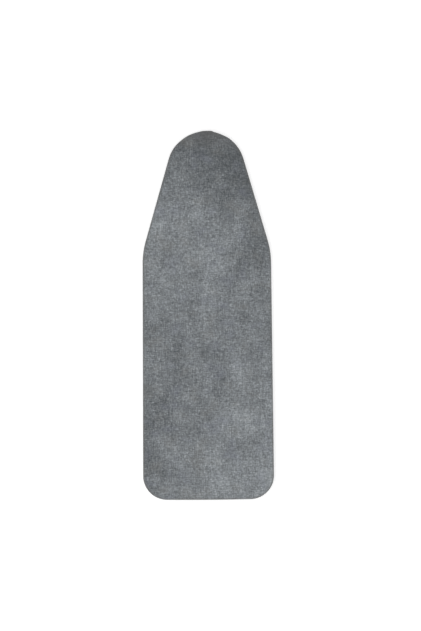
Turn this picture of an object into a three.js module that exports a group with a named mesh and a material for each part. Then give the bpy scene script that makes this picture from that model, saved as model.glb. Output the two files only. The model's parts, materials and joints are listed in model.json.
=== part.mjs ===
// An ironing board cover in the shape it takes on a board: a woven cotton panel over a foam pad and a felt pad.
// The cotton rolls over the board's edge and is drawn in below it by a flat elastic, which runs in a folded tape.
// Three straps close across the open underside with hook and loop patches.
// Millimetres, +Z up, the ironing face on top, the nose towards +Y, the origin below the middle at the lowest point.
import * as THREE from 'three';

// Outline, seen from above. The widths are taken where the straight edges meet.
const LENGTH = 1250;
const TAIL_WIDTH = 444;
const SHOULDER_WIDTH = 435;
const NOSE_RADIUS = 132;
const SHOULDER_RADIUS = 285;
const CORNER_RADIUS = 81;
const FLANK_ANGLE = THREE.MathUtils.degToRad(16.1);
const TAIL_BOW = 3;
const TAIL_BOW_SHARE = 0.9;

// Layers, from the ironing face down
const COTTON = 1;
const FOAM = 4;
const FELT = 4;
const BOARD_DEPTH = 24;
const SEWN_GAP = 0.3;

// The cotton's roll over the board's edge, and its tuck below the board
const EDGE_RADIUS = 10;
const TURN_RADIUS = 8;
const TUCK = 60;
const GATHER_DEPTH = 6;
const NOSE_GATHERS = 9;
const CORNER_GATHERS = 3;

// The folded tape on the cotton's raw edge, and the elastic in it
const BINDING = 0.8;
const BINDING_LIP = 6;
const BINDING_SLACK = 0.5;
const ELASTIC = 1.2;
const ELASTIC_WIDTH = 6;

// Straps
const STRAP = 1.2;
const STRAP_WIDTH = 25;
const STRAP_SAG = 0.8;
const STRAP_DROP_LENGTH = 30;
const STRAP_END = 8;
const ANCHOR_LENGTH = 28;
const ANCHOR_TO_TURN = 5;
const PATCH = 1;
const PATCH_LENGTH = 28;
const PATCH_MARGIN = 1;
const PATCH_CORNER = 3;
const STRAPS = [
  { name: 'front', lengthShare: 0.12 },
  { name: 'middle', lengthShare: -0.11 },
  { name: 'rear', lengthShare: -0.34 },
];

// How finely round stretches are cut
const STEPS_PER_GATHER = 4;
const EDGE_STEPS = 2;
const SHOULDER_STEPS = 2;
const TAIL_STEPS = 4;
const STRAP_STEPS = 28;
const HAIRPIN_STEPS = 8;
const PATCH_CORNER_STEPS = 4;

// Heights, from the lowest gather or strap up
const bindingHalf = ELASTIC / 2 + BINDING_SLACK + BINDING;
const strapStack = SEWN_GAP + PATCH + SEWN_GAP + PATCH + SEWN_GAP + STRAP;
const hemHeight = Math.max(bindingHalf + GATHER_DEPTH, COTTON / 2 + strapStack + STRAP_SAG);
const tuckBottom = hemHeight - COTTON / 2;
const feltBottom = tuckBottom + COTTON + BOARD_DEPTH;
const feltTop = feltBottom + FELT;
const foamBottom = feltTop + SEWN_GAP;
const foamTop = foamBottom + FOAM;
const faceHeight = foamTop + SEWN_GAP + COTTON;

// Insets from the outline, from the hem's inner edge outwards
const elasticInner = TUCK - BINDING - BINDING_SLACK;
const elasticOuter = elasticInner - ELASTIC_WIDTH;
const cottonEdge = elasticOuter - BINDING_SLACK;
const bindingOuter = cottonEdge - BINDING_LIP;

// Corner points of the outline, clockwise from the nose, each with the radius that rounds it.
function outlineCorners() {
  const noseCentre = LENGTH / 2 - NOSE_RADIUS;
  const apex = noseCentre + NOSE_RADIUS / Math.sin(FLANK_ANGLE);
  const shoulder = apex - SHOULDER_WIDTH / 2 / Math.tan(FLANK_ANGLE);
  const slope = Math.atan2(TAIL_BOW, TAIL_WIDTH / 2);
  const bowRadius = (TAIL_BOW_SHARE * (TAIL_WIDTH / 2 - CORNER_RADIUS)) / Math.tan(slope);
  const tail = -LENGTH / 2 - bowRadius * (1 / Math.cos(slope) - 1);
  const corner = (x, y, radius, steps, gathers = 0) => ({ at: new THREE.Vector2(x, y), radius, steps, gathers });
  const gathered = (x, y, radius, gathers) => corner(x, y, radius, gathers * STEPS_PER_GATHER, gathers);
  const side = (sign) => [
    corner((sign * SHOULDER_WIDTH) / 2, shoulder, SHOULDER_RADIUS, SHOULDER_STEPS),
    gathered((sign * TAIL_WIDTH) / 2, tail + TAIL_BOW, CORNER_RADIUS, CORNER_GATHERS),
  ];
  return [
    gathered(0, apex, NOSE_RADIUS, NOSE_GATHERS),
    ...side(1),
    corner(0, tail, bowRadius, TAIL_STEPS),
    ...side(-1).reverse(),
  ];
}

// Stations round one corner: a point, the direction inwards, and how far the gather hangs down there.
function cornerStations({ at, radius, steps, gathers }, before, after) {
  const arriving = at.clone().sub(before).normalize();
  const leaving = after.clone().sub(at).normalize();
  const turn = Math.acos(arriving.dot(leaving));
  const inwards = new THREE.Vector2(arriving.y, -arriving.x);
  const centre = at
    .clone()
    .addScaledVector(arriving, -radius * Math.tan(turn / 2))
    .addScaledVector(inwards, radius);
  return Array.from({ length: steps + 1 }, (_, step) => {
    const share = step / steps;
    const normal = inwards.clone().rotateAround(new THREE.Vector2(), -turn * share);
    return {
      point: centre.clone().addScaledVector(normal, -radius),
      inwards: normal,
      drop: (GATHER_DEPTH * (1 - Math.cos(2 * Math.PI * gathers * share))) / 2,
    };
  });
}

const corners = outlineCorners();
const stations = corners.flatMap((corner, i) => {
  const before = corners[(i + corners.length - 1) % corners.length].at;
  const after = corners[(i + 1) % corners.length].at;
  return cornerStations(corner, before, after);
});

// How much of a gather shows at an inset: nothing at the turn, and all of it from the elastic inwards.
function gatherShare(inset) {
  return THREE.MathUtils.clamp((inset - TURN_RADIUS) / (elasticOuter - TURN_RADIUS), 0, 1);
}

// A flat face over one ring of vertices, facing up or down.
function cap(vertices, ring, facesUp) {
  const contour = ring.map((index) => new THREE.Vector2(vertices[3 * index], vertices[3 * index + 1]));
  const faces = [];
  for (const [a, b, c] of THREE.ShapeUtils.triangulateShape(contour, [])) {
    const turnsLeft = THREE.ShapeUtils.area([contour[a], contour[b], contour[c]]) > 0;
    const [second, third] = turnsLeft === facesUp ? [b, c] : [c, b];
    faces.push(ring[a], ring[second], ring[third]);
  }
  return faces;
}

// Carries a section round the outline. Its points are insets and heights, from the top outwards and down.
// A closed section makes a ring, and an open one is capped over its first point and under its last.
// Both faces of a layer are cut along the same diagonals, so layers keep their distance in the gathers.
function loftRound(section, closed = false) {
  const vertices = [];
  const faces = [];
  const count = section.length;
  for (const { point, inwards, drop } of stations) {
    for (const { inset, height, gathered } of section) {
      const lowered = gathered ? drop * gatherShare(inset) : 0;
      vertices.push(point.x + inset * inwards.x, point.y + inset * inwards.y, height - lowered);
    }
  }
  stations.forEach((_, i) => {
    const here = i * count;
    const next = ((i + 1) % stations.length) * count;
    for (let j = 0; j < (closed ? count : count - 1); j += 1) {
      const k = (j + 1) % count;
      const outwards = section[k].inset < section[j].inset;
      const [near, far] = outwards ? [here + k, next + j] : [here + j, next + k];
      faces.push(here + j, next + j, outwards ? near : far, outwards ? far : near, next + k, here + k);
    }
  });
  if (!closed) {
    const ring = (j) => stations.map((_, i) => i * count + j);
    faces.push(...cap(vertices, ring(0), true), ...cap(vertices, ring(count - 1), false));
  }
  const geometry = new THREE.BufferGeometry();
  geometry.setAttribute('position', new THREE.Float32BufferAttribute(vertices, 3));
  geometry.setIndex(faces);
  geometry.computeVertexNormals();
  return geometry;
}

// The roll over the board's edge, from flat to upright, on a surface this deep in the cotton.
function rolledEdge(depth) {
  const radius = EDGE_RADIUS - depth;
  return Array.from({ length: EDGE_STEPS + 1 }, (_, step) => {
    const angle = (Math.PI / 2) * (step / EDGE_STEPS);
    return {
      inset: EDGE_RADIUS - radius * Math.sin(angle),
      height: faceHeight - EDGE_RADIUS + radius * Math.cos(angle),
    };
  });
}

// The turn under the board, from upright to flat, on a surface this deep in the cotton.
function turnUnder(depth) {
  const radius = TURN_RADIUS - depth;
  return Array.from({ length: EDGE_STEPS + 1 }, (_, step) => {
    const angle = (Math.PI / 2) * (step / EDGE_STEPS);
    return {
      inset: TURN_RADIUS - radius * Math.cos(angle),
      height: tuckBottom + TURN_RADIUS - radius * Math.sin(angle),
    };
  });
}

// The cotton panel, from the ironing face round the edge to its raw edge in the binding, and back inside.
function cottonCover() {
  const face = (depth) => [
    ...rolledEdge(depth),
    ...turnUnder(depth),
    { inset: bindingOuter - BINDING_SLACK, height: tuckBottom + depth, gathered: true },
    { inset: cottonEdge, height: tuckBottom + depth, gathered: true },
  ];
  return loftRound([...face(0), ...face(COTTON).reverse()]);
}

// A pad fills the cotton's roll between two heights.
function pad(top, bottom) {
  const wall = rolledEdge(COTTON + SEWN_GAP);
  const wallAt = (height) => {
    const low = Math.max(wall.findIndex((point) => point.height <= height), 1);
    const [from, to] = [wall[low - 1], wall[low]];
    return { inset: THREE.MathUtils.mapLinear(height, from.height, to.height, from.inset, to.inset), height };
  };
  const bends = wall.filter((point) => point.height < top && point.height > bottom);
  return loftRound([wallAt(top), ...bends, wallAt(bottom)]);
}

// The tape folded over the raw edge: a lip above and below the cotton, and a loop round the elastic.
function hemBinding() {
  const lip = COTTON / 2 + SEWN_GAP;
  const loop = ELASTIC / 2 + BINDING_SLACK;
  const half = (sign, thickness) => [
    { inset: bindingOuter, height: hemHeight + sign * (lip + thickness), gathered: true },
    { inset: elasticOuter, height: hemHeight + sign * (loop + thickness), gathered: true },
    { inset: elasticInner, height: hemHeight + sign * (loop + thickness), gathered: true },
  ];
  const fold = (thickness) => [
    ...half(1, thickness),
    { inset: TUCK - BINDING + thickness, height: hemHeight, gathered: true },
    ...half(-1, thickness).reverse(),
  ];
  return loftRound([...fold(BINDING).reverse(), ...fold(0)], true);
}

function hemElastic() {
  const face = (sign) => [
    { inset: elasticInner, height: hemHeight + (sign * ELASTIC) / 2, gathered: true },
    { inset: elasticOuter, height: hemHeight + (sign * ELASTIC) / 2, gathered: true },
  ];
  return loftRound([...face(1), ...face(-1).reverse()], true);
}

// A tape of one thickness along a path in X and Z, centred on Y.
function tape(path, thickness, width) {
  const edge = (side) =>
    path.map((point, i) => {
      const before = path[Math.max(i - 1, 0)];
      const after = path[Math.min(i + 1, path.length - 1)];
      const along = after.clone().sub(before).normalize();
      const across = new THREE.Vector2(-along.y, along.x);
      return point.clone().addScaledVector(across, (side * thickness) / 2);
    });
  const shape = new THREE.Shape([...edge(-1), ...edge(1).reverse()]);
  const geometry = new THREE.ExtrudeGeometry(shape, { depth: width, bevelEnabled: false });
  return geometry.rotateX(Math.PI / 2).translate(0, width / 2, 0);
}

// A flat patch with round corners, centred at zero, standing on zero.
function patch() {
  const x = PATCH_LENGTH / 2 - PATCH_CORNER;
  const y = STRAP_WIDTH / 2 - PATCH_MARGIN - PATCH_CORNER;
  const centres = [[x, y], [-x, y], [-x, -y], [x, -y]];
  const shape = new THREE.Shape();
  centres.forEach(([centreX, centreY], i) => {
    shape.absarc(centreX, centreY, PATCH_CORNER, (i * Math.PI) / 2, ((i + 1) * Math.PI) / 2);
  });
  return new THREE.ExtrudeGeometry(shape, {
    depth: PATCH,
    bevelEnabled: false,
    curveSegments: PATCH_CORNER_STEPS,
  });
}

// Half the cover's width at a place along its straight sides.
function halfWidth(y) {
  const [, shoulder, corner] = corners;
  return THREE.MathUtils.mapLinear(y, shoulder.at.y, corner.at.y, shoulder.at.x, corner.at.x);
}

// Heights of one strap's layers, from the tucked cotton down
const leafSpacing = STRAP + SEWN_GAP;
const anchorUpper = tuckBottom - SEWN_GAP - STRAP / 2;
const anchorLower = anchorUpper - leafSpacing;
const loopPatchBottom = tuckBottom - SEWN_GAP - PATCH;
const hookPatchBottom = loopPatchBottom - SEWN_GAP - PATCH;
const strapRun = hookPatchBottom - SEWN_GAP - STRAP / 2;

// Distances of a strap's parts from the cover's edge
const anchorOuter = TURN_RADIUS + ANCHOR_TO_TURN;
const anchorInner = anchorOuter + ANCHOR_LENGTH;
const strapTip = TURN_RADIUS;
const patchMiddle = strapTip + STRAP_END + PATCH_LENGTH / 2;

// The strap's sewn end: the webbing runs out along the tuck, turns up and comes back above itself.
function strapAnchor(half) {
  const bend = new THREE.Vector2(anchorOuter - half + (leafSpacing + STRAP) / 2, (anchorUpper + anchorLower) / 2);
  const path = Array.from({ length: HAIRPIN_STEPS + 1 }, (_, step) => {
    const angle = Math.PI * (step / HAIRPIN_STEPS);
    const arm = new THREE.Vector2(-Math.sin(angle), -Math.cos(angle));
    return bend.clone().addScaledVector(arm, leafSpacing / 2);
  });
  path.unshift(new THREE.Vector2(anchorInner - half, anchorLower));
  path.push(new THREE.Vector2(anchorInner - half, anchorUpper));
  return tape(path, STRAP, STRAP_WIDTH);
}

// The strap's free length, which drops from its sewn end and sags a little between the hems.
function strapLength(half) {
  const root = anchorInner + SEWN_GAP - half;
  const tip = half - strapTip;
  const hem = half - TUCK;
  const path = Array.from({ length: STRAP_STEPS + 1 }, (_, step) => {
    const x = THREE.MathUtils.lerp(root, tip, step / STRAP_STEPS);
    const lift = 1 - THREE.MathUtils.smoothstep(x - root, 0, STRAP_DROP_LENGTH);
    const across = THREE.MathUtils.clamp((x + hem) / (2 * hem), 0, 1);
    const sag = STRAP_SAG * Math.sin(Math.PI * across) ** 2;
    return new THREE.Vector2(x, strapRun + lift * (anchorLower - strapRun) - sag);
  });
  return tape(path, STRAP, STRAP_WIDTH);
}

const finish = (color, roughness) => new THREE.MeshStandardMaterial({ color, roughness, metalness: 0 });
const marledCotton = finish(0x787c7f, 0.92);
const paleFoam = finish(0xd9d8d2, 0.95);
const whiteFelt = finish(0xdcdad3, 1);
const greyTape = finish(0x5f6366, 0.85);
const whiteElastic = finish(0xe4e3df, 0.8);
const darkWebbing = finish(0x3a3c3f, 0.8);
const hookNylon = finish(0x232426, 0.6);
const loopNylon = finish(0x2c2d30, 1);

const cover = new THREE.Group();

function add(parent, name, geometry, material) {
  const mesh = new THREE.Mesh(geometry, material);
  mesh.name = name;
  parent.add(mesh);
  return mesh;
}

add(cover, 'cotton_cover', cottonCover(), marledCotton);
add(cover, 'foam_pad', pad(foamTop, foamBottom), paleFoam);
add(cover, 'felt_pad', pad(feltTop, feltBottom), whiteFelt);
add(cover, 'hem_binding', hemBinding(), greyTape);
add(cover, 'hem_elastic', hemElastic(), whiteElastic);

for (const { name, lengthShare } of STRAPS) {
  const place = new THREE.Group();
  place.position.y = lengthShare * LENGTH;
  cover.add(place);
  const half = halfWidth(place.position.y);
  add(place, `${name}_strap_anchor`, strapAnchor(half), darkWebbing);
  add(place, `${name}_strap`, strapLength(half), darkWebbing);
  const hooks = add(place, `${name}_hook_patch`, patch(), hookNylon);
  hooks.position.set(half - patchMiddle, 0, hookPatchBottom);
  const loops = add(place, `${name}_loop_patch`, patch(), loopNylon);
  loops.position.set(half - patchMiddle, 0, loopPatchBottom);
}

export default cover;
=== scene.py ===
"""An ironing board cover: marled cotton over two pads, with a gathered hem and cross straps."""
import json
import logging
import math
from dataclasses import dataclass, field
from enum import Enum

import bmesh
import bpy
import numpy as np
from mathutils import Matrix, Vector

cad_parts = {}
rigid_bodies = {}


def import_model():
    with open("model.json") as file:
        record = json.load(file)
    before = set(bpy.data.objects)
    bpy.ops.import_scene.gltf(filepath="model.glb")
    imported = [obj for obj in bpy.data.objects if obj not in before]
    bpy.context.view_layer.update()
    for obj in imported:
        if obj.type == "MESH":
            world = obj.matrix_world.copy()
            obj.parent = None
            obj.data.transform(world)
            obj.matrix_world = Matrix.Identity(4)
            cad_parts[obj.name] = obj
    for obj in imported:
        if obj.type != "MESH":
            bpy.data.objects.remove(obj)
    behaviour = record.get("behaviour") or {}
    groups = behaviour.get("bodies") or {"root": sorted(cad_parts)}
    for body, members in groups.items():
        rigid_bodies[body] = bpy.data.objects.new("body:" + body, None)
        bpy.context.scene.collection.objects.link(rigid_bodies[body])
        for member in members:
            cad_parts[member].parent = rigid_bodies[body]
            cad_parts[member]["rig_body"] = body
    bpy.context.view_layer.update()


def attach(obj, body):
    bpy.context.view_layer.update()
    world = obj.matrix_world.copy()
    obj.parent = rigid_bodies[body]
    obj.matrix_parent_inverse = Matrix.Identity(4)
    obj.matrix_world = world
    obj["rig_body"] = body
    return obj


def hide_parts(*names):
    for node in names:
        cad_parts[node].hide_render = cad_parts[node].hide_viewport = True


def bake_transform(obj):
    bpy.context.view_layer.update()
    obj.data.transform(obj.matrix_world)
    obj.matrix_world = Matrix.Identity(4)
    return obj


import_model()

LOG = logging.getLogger("ironing_board_cover")
MM = 0.001
COVER_BODY = "cover"
Array = np.ndarray
Piece = bpy.types.Object
Finish = bpy.types.Material
Socket = bpy.types.NodeSocket
Pair = tuple[float, float]
Triple = tuple[float, float, float]
Colour = tuple[float, float, float, float]


# Numbers along and over the cloth


# The shortest and longest wave, as shares of the middle one, and what evens out their sum.
RIPPLE_SPAN: Pair = (0.6, 1.7)
RIPPLE_LEVEL = 1.6


def smooth(low: float, high: float, value: Array) -> Array:
    """Eases from 0 at low to 1 at high.

    Args:
        low: Where the result leaves 0.
        high: Where the result reaches 1.
        value: The numbers to ease.

    Returns:
        The eased numbers.
    """
    share = np.clip((value - low) / (high - low), 0.0, 1.0)
    return share * share * (3.0 - 2.0 * share)


def ripple(seed: int, positions: Array, period: float, waves: int = 9) -> Array:
    """Slow, even unevenness over a plane.

    Args:
        seed: Fixes the result.
        positions: One row of coordinates for each point, in metres.
        period: The middle length of a wave, in metres.
        waves: How many waves are laid over each other.

    Returns:
        One number for each point, mostly between -1 and 1.
    """
    rng = np.random.default_rng(seed)
    total = np.zeros(len(positions))
    for _ in range(waves):
        way = rng.normal(size=positions.shape[1])
        way /= np.linalg.norm(way)
        length = period * rng.uniform(*RIPPLE_SPAN)
        total += np.sin(2 * np.pi * (positions @ way) / length + rng.uniform(0, 2 * np.pi))
    return total / math.sqrt(waves * RIPPLE_LEVEL)


def run_along(path: Array) -> Array:
    """How far each point of a path lies from its start, along the path."""
    return np.concatenate([[0.0], np.cumsum(np.linalg.norm(np.diff(path, axis=0), axis=1))])


def ways_along(path: Array) -> Array:
    """The way that a path goes at each of its points."""
    way = np.gradient(path, axis=0)
    return way / np.linalg.norm(way, axis=1)[:, None]


# Meshes


def put_in_scene(name: str, data: bpy.types.ID) -> Piece:
    """Makes an object of a mesh, a lamp or a camera, and adds it to the scene."""
    made = bpy.data.objects.new(name, data)
    bpy.context.scene.collection.objects.link(made)
    return made


def from_bmesh(name: str, bm: bmesh.types.BMesh) -> Piece:
    """Makes an object of a mesh in the making, which ends there.

    Args:
        name: The object's name.
        bm: The mesh in the making.

    Returns:
        The new object, in the scene.
    """
    mesh = bpy.data.meshes.new(name)
    bm.to_mesh(mesh)
    bm.free()
    return put_in_scene(name, mesh)


def mesh_object(name: str, rings: list[Array], faces: list[list[int]],
                **lays: list[Array]) -> Piece:
    """Makes a smooth-shaded object from rings of vertices.

    Args:
        name: The piece's name.
        rings: Rings of vertices, each with one row of X, Y and Z for each vertex.
        faces: Lists of vertex numbers, counted through all rings.
        lays: Each vertex's place on the cloth, ring by ring, under the name of its attribute.

    Returns:
        The new object, in the scene.
    """
    mesh = bpy.data.meshes.new(name)
    mesh.from_pydata(np.concatenate(rings).tolist(), [], faces)
    for lay, places in lays.items():
        attribute = mesh.attributes.new(lay, "FLOAT_VECTOR", "POINT")
        attribute.data.foreach_set("vector", np.concatenate(places).astype(np.float32).ravel())
    mesh.polygons.foreach_set("use_smooth", [True] * len(mesh.polygons))
    mesh.update()
    return put_in_scene(name, mesh)


def strips(rings: int, columns: int, closed_columns: bool = False) -> list[list[int]]:
    """Faces between closed rings of vertices that are numbered ring after ring.

    Args:
        rings: How many rings there are.
        columns: How many vertices each ring has.
        closed_columns: Whether the last ring joins the first.

    Returns:
        Four vertex numbers for each face.
    """
    ring = np.arange(rings if closed_columns else rings - 1)[:, None]
    column = np.arange(columns)[None, :]
    start, next_start = ring * columns, (ring + 1) % rings * columns
    next_column = (column + 1) % columns
    corners = [start + column, start + next_column, next_start + next_column, next_start + column]
    return np.stack(np.broadcast_arrays(*corners), -1).reshape(-1, 4).tolist()


def tube_faces(rings: int, columns: int) -> list[list[int]]:
    """Faces of a tube of rings, with a face over each end."""
    last = (rings - 1) * columns
    ends = [list(reversed(range(columns))), list(range(last, last + columns))]
    return strips(rings, columns) + ends


def skin(bm: bmesh.types.BMesh, rings: list[list[bmesh.types.BMVert]]) -> None:
    """Adds the faces of a tube of rings to a mesh in the making, with a face over each end.

    Args:
        bm: The mesh in the making.
        rings: Its rings of vertices, in the order of the tube.
    """
    for near, far in zip(rings, rings[1:]):
        for k, corner in enumerate(near):
            following = (k + 1) % len(near)
            bm.faces.new([corner, near[following], far[following], far[k]])
    bm.faces.new(rings[0][::-1])
    bm.faces.new(rings[-1])


def join_doubles(piece: Piece, distance: float = 1e-5) -> None:
    """Merges vertices that lie on each other, and drops the faces that this empties.

    Args:
        piece: The piece, whose mesh is changed.
        distance: How near vertices lie to be one, in metres.
    """
    bm = bmesh.new()
    bm.from_mesh(piece.data)
    bmesh.ops.remove_doubles(bm, verts=bm.verts, dist=distance)
    bmesh.ops.dissolve_degenerate(bm, edges=bm.edges, dist=distance / 10)
    bm.to_mesh(piece.data)
    bm.free()


def face_outwards(piece: Piece) -> None:
    """Turns all faces of closed forms outwards.

    Args:
        piece: The piece, whose mesh is changed.
    """
    bm = bmesh.new()
    bm.from_mesh(piece.data)
    bmesh.ops.recalc_face_normals(bm, faces=bm.faces)
    bm.to_mesh(piece.data)
    bm.free()


def thicken(piece: Piece, thickness: float) -> None:
    """Gives a surface a thickness on its inner side.

    Args:
        piece: The surface, which ends as a closed form.
        thickness: How thick it is, in metres.
    """
    solidify = piece.modifiers.new("thickness", "SOLIDIFY")
    solidify.thickness = thickness
    solidify.offset = -1.0
    bpy.context.view_layer.update()
    graph = bpy.context.evaluated_depsgraph_get()
    made = bpy.data.meshes.new_from_object(piece.evaluated_get(graph))
    piece.modifiers.clear()
    piece.data = made


def finish_piece(piece: Piece, finish: Finish, body: str | None = COVER_BODY,
                 replaces: tuple[str, ...] = ()) -> Piece:
    """Dresses a piece and hangs it on its body.

    Args:
        piece: The finished piece.
        finish: What it is made of.
        body: The body that it moves with, or None to leave it on no body.
        replaces: The solids that it stands for.

    Returns:
        The same piece.
    """
    piece.data.materials.clear()
    piece.data.materials.append(finish)
    if body:
        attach(piece, body)
    if replaces:
        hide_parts(*replaces)
    return piece


# Finishes


# How far off the origin every noise starts, in metres, and where most of its numbers lie.
NOISE_START = 0.77
NOISE_SPREAD: Pair = (0.3, 0.7)


@dataclass(frozen=True)
class Noise:
    """One noise on a finish: its patches for each metre, its grain, and its weight in a sum.

    A turn is in radians about Z. The start moves the noise off the point where all noises begin
    alike, and None stands for the common start.
    """

    scale: Triple
    detail: float = 2.0
    roughness: float = 0.5
    weight: float = 1.0
    turn: float = 0.0
    start: Triple | None = None


@dataclass(frozen=True)
class Ramp:
    """A range of numbers that is moved to another range. What lies outside stays at the ends."""

    low: float
    high: float
    to_low: float = 0.0
    to_high: float = 1.0


def grey(red: float, green: float, blue: float) -> Colour:
    """A colour from display values between 10 and 255."""
    linear = [((value / 255 + 0.055) / 1.055) ** 2.4 for value in (red, green, blue)]
    return linear[0], linear[1], linear[2], 1.0


def cleared(holder: bpy.types.Material | bpy.types.World) -> bpy.types.NodeTree:
    """The empty node tree of a finish or of the world."""
    holder.use_nodes = True
    holder.node_tree.nodes.clear()
    return holder.node_tree


class Recipe:
    """Builds one procedural material, node by node."""

    def __init__(self, name: str, roughness: float, specular: float = 0.3) -> None:
        """Starts a material with its constant gloss.

        Args:
            name: The material's name.
            roughness: How dull it is.
            specular: How strongly it reflects.
        """
        self.material = bpy.data.materials.new(name)
        self.tree = cleared(self.material)
        output = self.node("OutputMaterial")
        self.shader = self.node("BsdfPrincipled")
        self.shader.inputs["Roughness"].default_value = roughness
        self.shader.inputs["Specular IOR Level"].default_value = specular
        self.plug(self.shader.outputs[0], output.inputs["Surface"])

    def node(self, kind: str, **settings: object) -> bpy.types.Node:
        """Adds a node and sets its properties.

        Args:
            kind: The node's type, less what all shader nodes' types begin with.
            settings: Its properties, by name.

        Returns:
            The new node.
        """
        node = self.tree.nodes.new(f"ShaderNode{kind}")
        for key, value in settings.items():
            setattr(node, key, value)
        return node

    def plug(self, value: object, socket: Socket) -> None:
        """Links a socket to another, or sets its value.

        Args:
            value: What goes in: a socket, or a number, place or colour.
            socket: The socket that takes it.
        """
        if isinstance(value, bpy.types.NodeSocket):
            self.tree.links.new(value, socket)
        else:
            socket.default_value = value

    def place(self) -> Socket:
        """The point's place on the object, in metres."""
        return self.node("TexCoord").outputs["Object"]

    def cloth(self, lay: str = "cloth") -> Socket:
        """The point's place on the cloth, in metres."""
        return self.node("Attribute", attribute_name=lay).outputs["Vector"]

    def stretched(self, place: Socket, noise: Noise) -> Socket:
        """A place in a noise's own patches, turned and moved to its start.

        Args:
            place: The place, in metres.
            noise: The noise that it is for.

        Returns:
            The changed place.
        """
        mapping = self.node("Mapping")
        start = noise.start or [NOISE_START * share for share in noise.scale]
        self.plug(place, mapping.inputs["Vector"])
        self.plug(noise.scale, mapping.inputs["Scale"])
        self.plug((0.0, 0.0, noise.turn), mapping.inputs["Rotation"])
        self.plug(start, mapping.inputs["Location"])
        return mapping.outputs[0]

    def noise(self, place: Socket, noise: Noise) -> Socket:
        """Soft noise from 0 to 1.

        Args:
            place: The place, in metres.
            noise: What the noise is like.

        Returns:
            The noise's number.
        """
        node = self.node("TexNoise")
        self.plug(self.stretched(place, noise), node.inputs["Vector"])
        self.plug(1.0, node.inputs["Scale"])
        self.plug(noise.detail, node.inputs["Detail"])
        self.plug(noise.roughness, node.inputs["Roughness"])
        return node.outputs["Fac"]

    def cells(self, place: Socket, count: float) -> Socket:
        """The distance to the middle of the nearest cell, with this many cells for each metre.

        Args:
            place: The place, in metres.
            count: How many cells lie along a metre.

        Returns:
            The distance, in cells.
        """
        node = self.node("TexVoronoi")
        self.plug(self.stretched(place, Noise((count, count, count))), node.inputs["Vector"])
        self.plug(1.0, node.inputs["Scale"])
        return node.outputs["Distance"]

    def math(self, operation: str, first: object, second: object = 0.0) -> Socket:
        """One sum on one or two numbers.

        Args:
            operation: The sum's name.
            first: A socket or a number.
            second: Another, where the sum takes two.

        Returns:
            The sum's result.
        """
        node = self.node("Math", operation=operation)
        self.plug(first, node.inputs[0])
        self.plug(second, node.inputs[1])
        return node.outputs[0]

    def weighted(self, parts: list[tuple[Socket, float]], middle: float = 0.5) -> Socket:
        """Adds up parts, each less its middle and times its weight.

        Args:
            parts: Each part with its weight.
            middle: What is taken from each part first.

        Returns:
            The sum of all.
        """
        total: object = 0.0
        for part, weight in parts:
            share = self.math("MULTIPLY", self.math("SUBTRACT", part, middle), weight)
            total = self.math("ADD", total, share)
        return total

    def remap(self, value: Socket, ramp: Ramp) -> Socket:
        """Moves numbers along a ramp.

        Args:
            value: The number.
            ramp: The range that it is in, and the range that it goes to.

        Returns:
            The moved number.
        """
        node = self.node("MapRange")
        numbers = (value, ramp.low, ramp.high, ramp.to_low, ramp.to_high)
        for socket, number in zip(node.inputs, numbers):
            self.plug(number, socket)
        return node.outputs[0]

    def between(self, share: Socket, first: Socket, second: Socket) -> Socket:
        """Mixes two numbers.

        Args:
            share: How much of the second is in the mix.
            first: The number at 0.
            second: The number at 1.

        Returns:
            The mixed number.
        """
        node = self.node("Mix")
        for socket, value in zip(("Factor", 2, 3), (share, first, second)):
            self.plug(value, node.inputs[socket])
        return node.outputs[0]

    def mix(self, share: Socket, first: object, second: object) -> Socket:
        """Mixes two colours.

        Args:
            share: How much of the second is in the mix.
            first: The colour at 0.
            second: The colour at 1.

        Returns:
            The mixed colour.
        """
        node = self.node("Mix", data_type="RGBA")
        for socket, value in zip(("Factor", 6, 7), (share, first, second)):
            self.plug(value, node.inputs[socket])
        return node.outputs[2]

    def split(self, vector: Socket) -> tuple[Socket, Socket, Socket]:
        """The three numbers of a place."""
        node = self.node("SeparateXYZ")
        self.plug(vector, node.inputs[0])
        return node.outputs[0], node.outputs[1], node.outputs[2]

    def wave(self, number: Socket, pitch: float) -> Socket:
        """A wave from 0 to 1 with this pitch in metres."""
        turned = self.math("MULTIPLY", number, 2 * math.pi / pitch)
        return self.math("ADD", self.math("MULTIPLY", self.math("SINE", turned), 0.5), 0.5)

    def weave(self, place: Socket, pitch: float) -> Socket:
        """The height of a plain weave, from 0 to 1, with this distance between threads.

        Args:
            place: The place on the cloth, in metres.
            pitch: The distance from thread to thread, in metres.

        Returns:
            The height.
        """
        x, y, _ = self.split(place)
        crossings = []
        for shift in (0.0, pitch):
            waves = [self.wave(self.math("ADD", number, shift), 2 * pitch) for number in (x, y)]
            crossings.append(self.math("MULTIPLY", *waves))
        return self.math("ADD", *crossings)

    def bump(self, height: Socket, depth: float, strength: float = 1.0) -> None:
        """Raises the surface by a height from 0 to 1, times a depth in metres.

        Args:
            height: The height at each point.
            depth: How high 1 stands, in metres.
            strength: The share of it that shows.
        """
        node = self.node("Bump")
        self.plug(strength, node.inputs["Strength"])
        self.plug(depth, node.inputs["Distance"])
        self.plug(height, node.inputs["Height"])
        self.plug(node.outputs[0], self.shader.inputs["Normal"])

    def colour(self, value: object) -> None:
        """Sets the base colour."""
        self.plug(value, self.shader.inputs["Base Color"])

    def rough(self, value: Socket, span: Pair) -> None:
        """Varies the roughness between two values."""
        self.plug(self.remap(value, Ramp(*NOISE_SPREAD, *span)), self.shader.inputs["Roughness"])


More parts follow.
